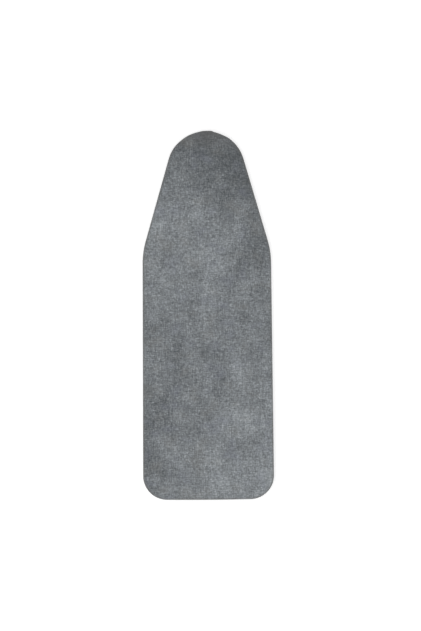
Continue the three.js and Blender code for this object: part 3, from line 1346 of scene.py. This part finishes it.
@dataclass
class CottonPanel:
    """The woven cotton: flat ironing face, rolled edge, turn below the board and gathered tuck."""

    hem: Hem
    thickness: float = 0.6 * MM
    face_rings: int = 11
    roll_steps: int = 8
    wall_steps: int = 4
    turn_steps: int = 8
    tuck_steps: int = 14
    unevenness: float = 0.3 * MM
    ripple_seed: int = 31
    ripple_length: float = 0.12

    def section(self) -> list[tuple[float, ...]]:
        """The section from the roll's start to the raw edge.

        Returns:
            For each point its inset, its height, the way out of the cloth, across and up, and the
            length of cloth from the roll's start.
        """
        hem = self.hem
        rows = []
        arc = 0.0
        for step in range(self.roll_steps + 1):
            angle = math.pi / 2 * step / self.roll_steps
            sine, cosine = math.sin(angle), math.cos(angle)
            arc = hem.edge_radius * angle
            rows.append((hem.edge_radius * (1 - sine), hem.face - hem.edge_radius * (1 - cosine),
                         -sine, cosine, arc))
        for step in range(1, self.wall_steps + 1):
            down = hem.wall * step / self.wall_steps
            rows.append((0.0, hem.roll_end - down, -1.0, 0.0, arc + down))
        arc += hem.wall
        for step in range(1, self.turn_steps + 1):
            angle = math.pi / 2 * step / self.turn_steps
            sine, cosine = math.sin(angle), math.cos(angle)
            rows.append((hem.turn_radius * (1 - cosine), hem.bottom + hem.turn_radius * (1 - sine),
                         -cosine, -sine, arc + hem.turn_radius * angle))
        arc += hem.turn_radius * math.pi / 2
        flat = hem.cotton_edge - hem.turn_radius
        for step in range(1, self.tuck_steps + 1):
            inset = flat * step / self.tuck_steps
            rows.append((hem.turn_radius + inset, hem.bottom, 0.0, -1.0, arc + inset))
        return rows

    def ironing_face(self) -> list[Array]:
        """Rings from the cover's middle line to the roll, a little uneven but for the outermost.

        Returns:
            The rings, the innermost first.
        """
        hem, line = self.hem, self.hem.outline
        rim, spine = line.ring(hem.edge_radius, hem.face), line.spine(hem.face)
        rings = []
        for ring in range(self.face_rings):
            share = ring / self.face_rings
            placed = spine + (rim - spine) * share
            waves = ripple(self.ripple_seed, placed[:, :2], self.ripple_length)
            placed[:, 2] += self.unevenness * waves * (1 - share ** 4)
            rings.append(placed)
        return rings

    def build(self) -> Piece:
        """Makes the panel's surface and thickens it.

        Returns:
            The cotton's mesh.
        """
        hem, line = self.hem, self.hem.outline
        face = self.ironing_face()
        yarns = [ring * (1.0, 1.0, 0.0) for ring in face]
        grains = list(yarns)
        roll_arc = hem.edge_radius * math.pi / 2
        section = self.section()
        drawn = []
        for inset, height, out_x, out_z, arc in section:
            off = hem.fold(arc - roll_arc)
            placed = line.ring(inset, height)
            placed[:, :2] += line.inwards * (out_x * off)[:, None]
            placed[:, 2] += out_z * off
            drawn.append(placed)
            yarns.append(line.ring(inset, hem.face - height))
            grains.append(line.ring(hem.edge_radius - arc, 0.0))
        start = self.roll_steps
        insets = [row[0] for row in section[start:]]
        arcs = [row[4] - roll_arc for row in section[start:]]
        drawn[start:] = DrawnCloth(hem).settle(drawn[start:], insets, arcs)
        rings = face + drawn
        faces = strips(len(rings), len(line.point))
        panel = mesh_object("cotton_panel", rings, faces, cloth=yarns, grain=grains)
        join_doubles(panel)
        thicken(panel, self.thickness)
        return panel

    def dress(self, cotton: Finish) -> Piece:
        """Builds the cotton and lays its weave on it.

        Args:
            cotton: The cotton's finish.

        Returns:
            The finished panel.
        """
        return finish_piece(self.build(), cotton, replaces=("cotton_cover",))


@dataclass
class Pad:
    """One padding layer, cut to fill the cotton's roll between two heights."""

    hem: Hem
    name: str
    node: str
    slot: str
    low: float
    high: float
    fill: float
    seed: int
    clearance: float = 1.0 * MM
    soften: float = 1.1 * MM
    edge_shares: tuple[float, ...] = (0.0, 0.35, 0.7, 1.0)
    rings: int = 12
    unevenness: float = 0.14 * MM
    broad_lumps: float = 0.05
    fine_lumps: float = 0.018
    fine_share: float = 0.6

    def wall_inset(self, height: float) -> float:
        """How far in the cotton's inner face lies at a height, with the clearance."""
        radius = self.hem.edge_radius - self.clearance
        rise = max(height - self.hem.roll_end, 0.0)
        return self.hem.edge_radius - math.sqrt(max(radius ** 2 - rise ** 2, 0.0))

    def soft_edge(self, height: float, way: int) -> list[Pair]:
        """The rounding from a face to the side, as insets and heights. The way is 1 for upwards.

        Args:
            height: The face's height.
            way: The way from the face to the side: 1 is upwards and -1 down.

        Returns:
            The points from the face's rim to the side.
        """
        made = []
        for share in self.edge_shares:
            angle = share * math.pi / 2
            lift = way * self.soften * (1 - math.cos(angle))
            made.append((self.soften * (1 - math.sin(angle)), height + lift))
        return made

    def face(self, rim: Array, height: float, seed: int) -> list[Array]:
        """Rings from the middle of a face to just inside its rim.

        Args:
            rim: The ring round the face.
            height: The face's height.
            seed: Fixes its unevenness.

        Returns:
            The rings, the innermost first.
        """
        spine = self.hem.outline.spine(0.0)
        made = []
        for ring in range(self.rings):
            share = ring / self.rings
            placed = spine + (rim - spine) * share
            lumps = ripple(seed, placed[:, :2], self.broad_lumps)
            lumps += self.fine_share * ripple(seed + 1, placed[:, :2], self.fine_lumps)
            placed[:, 2] = height + self.unevenness * lumps * (1 - share ** 6)
            made.append(placed)
        return made

    def build(self) -> Piece:
        """Makes the layer with soft edges and uneven faces.

        Returns:
            The layer's mesh.
        """
        line = self.hem.outline
        profile = [*self.soft_edge(self.high, -1), (0.0, (self.low + self.high) / 2),
                   *reversed(self.soft_edge(self.low, 1))]
        edge = [line.ring(self.wall_inset(z) + inset, z) for inset, z in profile]
        upper = self.face(edge[0], self.high, self.seed)
        lower = self.face(edge[-1], self.low, self.seed + 5)
        rings = upper + edge + lower[::-1]
        pad = mesh_object(self.name, rings, strips(len(rings), len(line.point)))
        join_doubles(pad)
        return pad

    def dress(self, finish: Finish) -> Piece:
        """Builds the layer and dresses it.

        Args:
            finish: What the layer is made of.

        Returns:
            The finished layer.
        """
        pad = finish_piece(self.build(), finish, replaces=(self.node,))
        return pad


@dataclass(frozen=True)
class Seam:
    """Stitches of one kind: their length, the pitch between them, and half the thread."""

    length: float
    pitch: float
    radius: float
    sides: int = 6
    shares: tuple[float, ...] = (0.0, 0.12, 0.5, 0.88, 1.0)
    widths: tuple[float, ...] = (0.35, 0.9, 1.0, 0.9, 0.35)
    dips: tuple[float, ...] = (1.1, 0.35, 0.0, 0.35, 1.1)
    flatness: float = 0.8

    def stitch(self, path: Array, run: Array, start: float) -> list[Array]:
        """One stitch as rings round its thread: a short rounded bar that dips in at its ends.

        Args:
            path: The points of the seam.
            run: How far along the seam each point lies.
            start: Where along it the stitch begins.

        Returns:
            Its rings, from end to end.
        """
        at = start + self.length * np.array(self.shares)
        points = np.column_stack([np.interp(at, run, path[:, axis]) for axis in range(3)])
        points[:, 2] += np.array(self.dips) * self.radius
        along = points[-1] - points[0]
        along /= np.linalg.norm(along)
        across = np.cross(along, (0.0, 0.0, 1.0))
        across /= np.linalg.norm(across)
        up = np.cross(across, along)
        angle = (2 * np.pi * np.arange(self.sides) / self.sides)[:, None]
        way = np.cos(angle) * across + self.flatness * np.sin(angle) * up
        return [point + self.radius * width * way for point, width in zip(points, self.widths)]

    def sew(self, name: str, paths: list[Array]) -> Piece:
        """Lays stitches along paths on an underside.

        Args:
            name: The piece's name.
            paths: Each a row of points.

        Returns:
            All the stitches as one piece.
        """
        rings: list[Array] = []
        faces: list[list[int]] = []
        bar = tube_faces(len(self.shares), self.sides)
        for path in paths:
            run = run_along(path)
            for start in np.arange((run[-1] % self.pitch) / 2, run[-1] - self.length, self.pitch):
                base = len(rings) * self.sides
                rings += self.stitch(path, run, start)
                faces += [[base + number for number in face] for face in bar]
        piece = mesh_object(name, rings, faces)
        face_outwards(piece)
        return piece


@dataclass
class HemTape:
    """The tape folded over the cotton's raw edge, its topstitching, and the elastic in it."""

    hem: Hem
    thickness: float = 0.7 * MM
    cut_bulge: float = 0.25 * MM
    lip: float = 1.2 * MM
    lip_run: tuple[Pair, ...] = ((0.0, 0.0), (0.9 * MM, 0.08 * MM), (3.2 * MM, 0.1 * MM))
    loop: float = 1.5 * MM
    loop_run: tuple[Pair, ...] = ((0.0, 0.0), (3 * MM, 0.06 * MM))
    fold_steps: int = 6
    fold_inset: float = 0.6 * MM
    stitch_inset: float = 47.7 * MM
    seam: Seam = Seam(length=2.5 * MM, pitch=3.4 * MM, radius=0.28 * MM)
    elastic_half: float = 0.55 * MM
    elastic_lay: float = 1.5 * MM
    inner_ends: Pair = (0.7 * MM, 0.4 * MM)
    outer_ends: Pair = (0.5 * MM, 0.2 * MM)

    def middle_line(self) -> Array:
        """The tape's middle in section, as insets and heights above the hem's middle.

        Returns:
            One row for each point, from the upper cut edge round to the lower.
        """
        hem = self.hem
        upper = [(hem.tape_edge + inset, self.lip + rise) for inset, rise in self.lip_run]
        upper += [(hem.elastic_outer + inset, self.loop + rise) for inset, rise in self.loop_run]
        start = hem.elastic_inner - self.fold_inset
        bulge = hem.tuck - self.thickness / 2 - start
        fold = []
        for step in range(self.fold_steps + 1):
            angle = math.pi / 2 * (1 - 2 * step / self.fold_steps)
            fold.append((start + bulge * math.cos(angle), self.loop * math.sin(angle)))
        lower = [(inset, -height) for inset, height in reversed(upper)]
        return np.array(upper + fold + lower)

    def band(self, name: str, rings: list[Array], across: Array) -> Piece:
        """Closes rings to a band round the hem, with each ring's place over the band's width.

        Args:
            name: The piece's name.
            rings: The rings, in order round its section.
            across: Each ring's place over its width.

        Returns:
            The closed band.
        """
        line = self.hem.outline
        band = mesh_object(name, rings, strips(len(rings), len(line.point), closed_columns=True),
                           cloth=[line.lay(place) for place in across])
        band.data.flip_normals()
        return band

    def tape(self) -> Piece:
        """Makes the folded tape.

        Returns:
            The tape's mesh.
        """
        hem = self.hem
        middle = self.middle_line()
        along = ways_along(middle)
        normal = np.column_stack([along[:, 1], -along[:, 0]])
        outer = middle - normal * self.thickness / 2
        inner = middle + normal * self.thickness / 2
        first = middle[0] - along[0] * self.cut_bulge
        last = middle[-1] + along[-1] * self.cut_bulge
        section = np.concatenate([outer, [last], inner[::-1], [first]])
        rings = []
        for inset, height in section:
            drop = hem.drop(min(inset, hem.elastic_outer))
            rings.append(hem.outline.ring(inset, hem.height + height - drop))
        return self.band("hem_tape", rings, run_along(section))

    def elastic(self) -> Piece:
        """Makes the flat elastic inside the fold.

        Returns:
            The elastic's mesh.
        """
        hem, half = self.hem, self.elastic_half
        inner, inner_tip = (hem.elastic_inner - end for end in self.inner_ends)
        outer, outer_tip = (hem.elastic_outer + end for end in self.outer_ends)
        section = [(inner, -half), (outer, -half), (outer_tip, 0.0),
                   (outer, half), (inner, half), (inner_tip, 0.0)]
        drop = hem.drop(hem.elastic_outer)
        rings = [hem.outline.ring(inset, hem.height + height - drop) for inset, height in section]
        return self.band("drawn_elastic", rings, np.arange(len(section)) * self.elastic_lay)

    def stitching(self) -> Piece:
        """Sews the row of stitches that shows on the hem's underside.

        Returns:
            The stitches.
        """
        hem = self.hem
        height = hem.height - self.lip - self.thickness / 2 - hem.drop(self.stitch_inset)
        path = hem.outline.ring(self.stitch_inset, height)
        return self.seam.sew("hem_tape_stitching", [np.concatenate([path, path[:1]])])

    def dress(self, tape: Finish, braid: Finish, thread: Finish) -> list[Piece]:
        """Builds and dresses the tape, its stitching and the elastic.

        Args:
            tape: The tape's finish.
            braid: The elastic's finish.
            thread: The sewing thread.

        Returns:
            The finished pieces.
        """
        return [
            finish_piece(self.tape(), tape, replaces=("hem_binding",)),
            finish_piece(self.stitching(), thread),
            finish_piece(self.elastic(), braid, replaces=("hem_elastic",)),
        ]


@dataclass(frozen=True)
class Pile:
    """The filaments of a patch. They stand up where the way is 1, and hang down where it is -1."""

    way: int
    pitch: float
    reach: float
    radius: float
    bend: float
    scatter: float = 0.0
    narrowing: float = 0.6
    steps: int = 4
    corners: tuple[float, ...] = (0.0, 2.09, 4.19)

    def filament(self, bm: bmesh.types.BMesh, foot: Vector, turn: float) -> None:
        """Adds one filament, a bent three-sided rod.

        Args:
            bm: The mesh that it is added to.
            foot: Where it stands.
            turn: The way that it faces.
        """
        way = Vector((math.cos(turn), math.sin(turn), 0.0))
        side = Vector((-math.sin(turn), math.cos(turn), 0.0))
        rings = []
        for step in range(self.steps + 1):
            angle = self.bend * step / self.steps
            rise = Vector((0, 0, self.way * math.sin(angle)))
            lean = way * self.narrowing * (1 - math.cos(angle))
            middle = foot + self.reach * (lean + rise)
            out = way * -math.cos(angle) + rise
            ways = [out * math.cos(corner) + side * math.sin(corner) for corner in self.corners]
            rings.append([bm.verts.new(middle + self.radius * way_out) for way_out in ways])
        # A standing rod turns the other way than a hanging one, so it is skinned from its tip.
        skin(bm, rings[::-self.way])


class Patch(Enum):
    """The two halves of a closing patch: hooks that bend over, and loops that come back."""

    HOOKS = Pile(way=1, pitch=1.5 * MM, reach=0.42 * MM, radius=0.11 * MM,
                 bend=1.25 * math.pi)
    LOOPS = Pile(way=-1, pitch=1.25 * MM, reach=0.34 * MM, radius=0.06 * MM,
                 bend=math.pi, scatter=0.25 * MM)


@dataclass
class Strap:
    """One cross strap: webbing sewn on at the left, with a closing patch at the right."""

    hem: Hem
    name: str
    y: float
    thickness: float = 1.1 * MM
    width: float = 25 * MM
    width_steps: int = 17
    squareness: float = 10
    rib_pitch: float = 3.2 * MM
    rib_height: float = 0.05 * MM
    sag: float = 0.8 * MM
    drop_length: float = 30 * MM
    anchor_outer: float = 13 * MM
    anchor_inner: float = 41 * MM
    anchor_upper: float = 6.5 * MM
    anchor_lower: float = 5.0 * MM
    anchor_margins: Pair = (4 * MM, 3 * MM)
    anchor_steps: int = 12
    fold_steps: int = 13
    hinge_gap: float = 0.3 * MM
    run_height: float = 3.9 * MM
    tip_inset: float = 11 * MM
    patch_middle: float = 30 * MM
    patch_size: Pair = (28 * MM, 23 * MM)
    patch_corner: float = 3 * MM
    corner_steps: int = 6
    patch_margin: float = 1.5 * MM
    pile_margin: float = 1.0 * MM
    pile_seed: int = 8
    hook_low: float = 4.8 * MM
    loop_high: float = 7.1 * MM
    base: float = 0.4 * MM
    bend_start: float = 1 * MM
    bend_reach: float = 7 * MM
    fine_reach: float = 9 * MM
    fine_steps: int = 25
    free_steps: int = 130
    seam: Seam = Seam(length=2.2 * MM, pitch=2.9 * MM, radius=0.26 * MM)

    def __post_init__(self) -> None:
        """Places the strap on the cover's width at its station."""
        self.half = self.hem.outline.half_width(self.y)
        self.root = self.anchor_inner + self.hinge_gap - self.half
        self.patch_at = self.half - self.patch_middle
        self.body = f"{self.name}_strap_body"

    def height_at(self, x: Array) -> Array:
        """The height of the webbing's middle along its free length.

        Args:
            x: Places along the strap.

        Returns:
            One height for each.
        """
        lift = 1 - smooth(0.0, self.drop_length, x - self.root)
        hem = self.half - self.hem.tuck
        across = np.clip((x + hem) / (2 * hem), 0, 1)
        held = self.run_height + lift * (self.anchor_lower - self.run_height)
        return held - self.sag * np.sin(np.pi * across) ** 2

    def path(self) -> Array:
        """The webbing's middle in X and Z: out along the tuck, round its fold and across.

        Returns:
            One row for each point.
        """
        spacing = self.anchor_upper - self.anchor_lower
        bend_x = self.anchor_outer - self.half + (spacing + self.thickness) / 2
        bend_z = (self.anchor_upper + self.anchor_lower) / 2
        turns = np.linspace(np.pi / 2, 3 * np.pi / 2, self.fold_steps)
        fold_x = bend_x + spacing / 2 * np.cos(turns)
        fold_z = bend_z + spacing / 2 * np.sin(turns)
        upper = np.linspace(self.anchor_inner - self.half, bend_x, self.anchor_steps)[:-1]
        lower = np.linspace(bend_x, self.root, self.anchor_steps)[1:]
        bend = np.linspace(self.root, self.root + self.fine_reach, self.fine_steps)[1:]
        rest = np.linspace(bend[-1], self.half - self.tip_inset, self.free_steps)[1:]
        free = np.concatenate([bend, rest])
        return np.column_stack([
            np.concatenate([upper, fold_x, lower, free]),
            np.concatenate([np.full(len(upper), self.anchor_upper), fold_z,
                            np.full(len(lower), self.anchor_lower), self.height_at(free)]),
        ])

    def webbing(self) -> Piece:
        """Makes the webbing as one continuous ribbed tape.

        Returns:
            The webbing's mesh.
        """
        path = self.path()
        along = ways_along(path)
        normal = np.column_stack([-along[:, 1], along[:, 0]])
        across = np.sin(np.linspace(-np.pi / 2, np.pi / 2, self.width_steps)) * self.width / 2
        edge = (1 - np.abs(across / (self.width / 2)) ** self.squareness) ** 0.5
        ribs = self.rib_height * np.cos(2 * np.pi * across / self.rib_pitch)
        half = edge * (self.thickness / 2 - self.rib_height) + ribs * edge
        side = list(zip(across, half))
        section = side + [(place, -height) for place, height in side[-2:0:-1]]
        rings, lays = [], []
        for (x, z), (out_x, out_z), run in zip(path, normal, run_along(path)):
            rings.append(np.array([(x + out_x * h, self.y + v, z + out_z * h) for v, h in section]))
            lays.append(np.array([(run, v, 0.0) for v, _ in section]))
        faces = tube_faces(len(rings), len(section))
        tape = mesh_object(f"{self.name}_webbing", rings, faces, cloth=lays)
        face_outwards(tape)
        return tape

    def plate(self, bm: bmesh.types.BMesh, low: float) -> None:
        """Adds the patch's backing, a thin plate with round corners, standing on a height.

        Args:
            bm: The mesh that it is added to.
            low: The height of the backing's lower face.
        """
        far_x, far_y = (size / 2 - self.patch_corner for size in self.patch_size)
        corners = []
        for i, (way_x, way_y) in enumerate(((1, 1), (-1, 1), (-1, -1), (1, -1))):
            for step in range(self.corner_steps + 1):
                angle = (i + step / self.corner_steps) * math.pi / 2
                corners.append((self.patch_at + way_x * far_x + self.patch_corner * math.cos(angle),
                                self.y + way_y * far_y + self.patch_corner * math.sin(angle)))
        skin(bm, [[bm.verts.new((x, y, z)) for x, y in corners] for z in (low, low + self.base)])

    def patch(self, kind: Patch) -> Piece:
        """Makes a patch with its field of hooks or loops.

        Args:
            kind: Which half of the closing it is.

        Returns:
            The patch's mesh.
        """
        pile = kind.value
        low = self.hook_low if kind is Patch.HOOKS else self.loop_high - self.base
        surface = low + self.base if kind is Patch.HOOKS else low
        bm = bmesh.new()
        self.plate(bm, low)
        rng = np.random.default_rng(self.pile_seed)
        field_size = [size - 2 * self.pile_margin for size in self.patch_size]
        columns, rows = (int(size / pile.pitch) for size in field_size)
        for i in range(columns + 1):
            for j in range(rows + 1):
                turn, offset = 0.0, (0.0, 0.0)
                if pile.scatter:
                    turn = rng.uniform(0, math.pi)
                    offset = rng.normal(0, pile.scatter, 2)
                x = self.patch_at + (i - columns / 2) * pile.pitch
                y = self.y + (j - rows / 2) * pile.pitch
                pile.filament(bm, Vector((x + offset[0], y + offset[1], surface)), turn)
        return from_bmesh(f"{self.name}_{kind.name.lower()}", bm)

    def box_seam(self, part: str, x_ends: Pair, half_width: float, low: float,
                 crossed: bool) -> Piece:
        """Sews a box of stitches round the strap's middle, at a height.

        Args:
            part: What it holds, for the piece's name.
            x_ends: Where it begins and ends along the strap.
            half_width: Half its width over the strap.
            low: The height of the stitches.
            crossed: Whether a cross is sewn in the box.

        Returns:
            The stitches.
        """
        (x0, x1), y0, y1 = x_ends, self.y - half_width, self.y + half_width
        corners = [(x0, y0), (x1, y0), (x1, y1), (x0, y1), (x0, y0)]
        lines = list(zip(corners, corners[1:]))
        if crossed:
            lines += [((x0, y0), (x1, y1)), ((x0, y1), (x1, y0))]
        paths = [np.array([(*start, low), (*end, low)]) for start, end in lines]
        return self.seam.sew(f"{self.name}_{part}_stitching", paths)

    def anchor_stitching(self) -> Piece:
        """Sews the crossed box that holds the strap's folded end.

        Returns:
            The stitches.
        """
        margin_x, margin_y = self.anchor_margins
        ends = self.anchor_outer + margin_x - self.half, self.anchor_inner - margin_x - self.half
        low = self.anchor_lower - self.thickness / 2
        return self.box_seam("anchor", ends, self.width / 2 - margin_y, low, crossed=True)

    def patch_stitching(self) -> Piece:
        """Sews the row that holds the hook patch, as it shows below the webbing.

        Returns:
            The stitches.
        """
        half_x, half_y = (size / 2 - self.patch_margin for size in self.patch_size)
        ends = self.patch_at - half_x, self.patch_at + half_x
        low = float(self.height_at(np.array(self.patch_at))) - self.thickness / 2
        return self.box_seam("patch", ends, half_y, low, crossed=False)

    def dress(self, webbing: Finish, hooks: Finish, loops: Finish, thread: Finish) -> list[Piece]:
        """Builds and dresses the strap's pieces.

        Args:
            webbing: The strap's finish.
            hooks: The hook patch's finish.
            loops: The loop patch's finish.
            thread: The sewing thread.

        Returns:
            The finished pieces.
        """
        tape = finish_piece(self.webbing(), webbing, body=None,
                            replaces=(f"{self.name}_strap_anchor", f"{self.name}_strap"))
        pieces = [
            tape,
            finish_piece(self.patch(Patch.HOOKS), hooks, self.body,
                         (f"{self.name}_hook_patch",)),
            finish_piece(self.patch(Patch.LOOPS), loops,
                         replaces=(f"{self.name}_loop_patch",)),
            finish_piece(self.anchor_stitching(), thread),
            finish_piece(self.patch_stitching(), thread, self.body),
        ]
        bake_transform(tape)
        return pieces


# The picture


def shown(tree: bpy.types.NodeTree) -> Socket:
    """Tells the rays that show a background, also in gloss or glass, from those that only light.

    Args:
        tree: The node tree that asks.

    Returns:
        A number that is 1 for the rays that show it, and 0 for the others.
    """
    path = tree.nodes.new("ShaderNodeLightPath")
    share = path.outputs["Is Camera Ray"]
    for ray in ("Is Glossy Ray", "Is Transmission Ray"):
        either = tree.nodes.new("ShaderNodeMath")
        either.operation = "MAXIMUM"
        tree.links.new(share, either.inputs[0])
        tree.links.new(path.outputs[ray], either.inputs[1])
        share = either.outputs[0]
    return share


@dataclass(frozen=True)
class Lamp:
    """A soft square lamp that looks at the cover."""

    name: str
    place: Triple
    size: float
    power: float

    def hang(self) -> None:
        """Adds the lamp to the scene."""
        data = bpy.data.lights.new(self.name, "AREA")
        data.size = self.size
        data.energy = self.power
        lamp = put_in_scene(self.name, data)
        lamp.location = self.place
        lamp.rotation_euler = Vector(self.place).to_track_quat("Z", "Y").to_euler()
        lamp.visible_camera = False


@dataclass
class Studio:
    """A pale floor, soft light from above, and a camera straight over the cover."""

    view_height: float = 2.1347
    face: float = 42 * MM
    distance: float = 9.0
    sensor: float = 36.0
    centre: Pair = (0.0109, -0.0009)
    roll: float = math.radians(-0.46)
    far_end: float = 100.0
    lamps: tuple[Lamp, ...] = (
        Lamp("soft_box", (-0.9, -0.7, 2.6), size=2.4, power=30.0),
        Lamp("fill_box", (1.6, 1.2, 1.6), size=1.2, power=9.0),
    )
    white: Colour = (1.0, 1.0, 1.0, 1.0)
    ambient: float = 0.62
    shown_strength: float = 1.0
    floor_half: float = 6.0
    floor_colour: Colour = (0.86, 0.86, 0.86, 1.0)
    floor_glow: float = 0.45

    def camera(self) -> None:
        """Hangs the camera over the cover, turned as the photograph is."""
        data = bpy.data.cameras.new("camera")
        data.sensor_fit = "VERTICAL"
        data.sensor_height = self.sensor
        data.lens = self.sensor * self.distance / self.view_height
        data.clip_end = self.far_end
        camera = put_in_scene("camera", data)
        camera.location = (*self.centre, self.face + self.distance)
        camera.rotation_euler = (0.0, 0.0, self.roll)
        bpy.context.scene.camera = camera

    def floor(self) -> None:
        """Lays the floor: white to the eye, and darker only where the cover shades it."""
        bm = bmesh.new()
        bmesh.ops.create_grid(bm, x_segments=8, y_segments=8, size=self.floor_half)
        floor = from_bmesh("floor", bm)
        paper = bpy.data.materials.new("floor_paper")
        tree = cleared(paper)
        output, total, matte, glow, strength = (
            tree.nodes.new(f"ShaderNode{kind}")
            for kind in ("OutputMaterial", "AddShader", "BsdfDiffuse", "Emission", "Math"))
        matte.inputs["Color"].default_value = self.floor_colour
        strength.operation = "MULTIPLY"
        strength.inputs[1].default_value = self.floor_glow
        for source, socket in (
            (shown(tree), strength.inputs[0]),
            (strength.outputs[0], glow.inputs["Strength"]),
            (matte.outputs[0], total.inputs[0]),
            (glow.outputs[0], total.inputs[1]),
            (total.outputs[0], output.inputs["Surface"]),
        ):
            tree.links.new(source, socket)
        floor.data.materials.append(paper)

    def world(self) -> None:
        """Sets the even light from all round, and a white background to the eye."""
        world = bpy.data.worlds.new("studio")
        bpy.context.scene.world = world
        tree = cleared(world)
        output, mix, light, seen = (
            tree.nodes.new(f"ShaderNode{kind}")
            for kind in ("OutputWorld", "MixShader", "Background", "Background"))
        for background, strength in ((light, self.ambient), (seen, self.shown_strength)):
            background.inputs["Color"].default_value = self.white
            background.inputs["Strength"].default_value = strength
        sources = (shown(tree), light.outputs[0], seen.outputs[0])
        for source, socket in zip(sources, mix.inputs):
            tree.links.new(source, socket)
        tree.links.new(mix.outputs[0], output.inputs["Surface"])

    def set_up(self) -> None:
        """Builds the whole studio."""
        self.camera()
        self.floor()
        self.world()
        for lamp in self.lamps:
            lamp.hang()
        bpy.context.scene.view_settings.view_transform = "Standard"


def main() -> None:
    """Builds the studio and the cover's pieces, and reports each."""
    logging.basicConfig(level=logging.INFO, format="%(message)s")
    Studio().set_up()
    cotton = MarledCotton().make()
    thread = Filaments("sewing_thread", grey(132, 135, 139), grey(166, 169, 172),
                       roughness=0.7, dust_patches=900.0).make()
    braid = Webbing("braided_elastic", grey(205, 203, 196), grey(236, 235, 230),
                    rib=1.2 * MM, pick=0.8 * MM).make()
    webbing = Webbing("strap_webbing", grey(44, 46, 49), grey(88, 91, 95)).make()
    hooks = Filaments("hook_nylon", grey(24, 25, 27), grey(58, 60, 64), roughness=0.5).make()
    loops = Filaments("loop_nylon", grey(30, 31, 34), grey(74, 76, 80), roughness=0.8).make()
    hem = Hem(Outline())
    foam = Pad(hem, "foam_layer", "foam_pad", "pad_foam", low=36.85 * MM, high=40.7 * MM,
               fill=0.6, seed=41)
    felt = Pad(hem, "felt_layer", "felt_pad", "pad_felt", low=32.4 * MM, high=36.3 * MM,
               fill=0.5, seed=51)
    panel = CottonPanel(hem).dress(cotton)
    tape = HemTape(hem).dress(BindingTape().make(), braid, thread)
    pads = [foam.dress(PadFoam().make()), felt.dress(NeedledFelt().make())]
    straps: list[Piece] = []
    for name, y in zip(("front", "middle", "rear"), hem.strap_places):
        straps += Strap(hem, name, y).dress(webbing, hooks, loops, thread)
    for piece in [panel, *tape, *pads, *straps]:
        LOG.info("%s: %d faces", piece.name, len(piece.data.polygons))


if __name__ == "__main__":
    main()
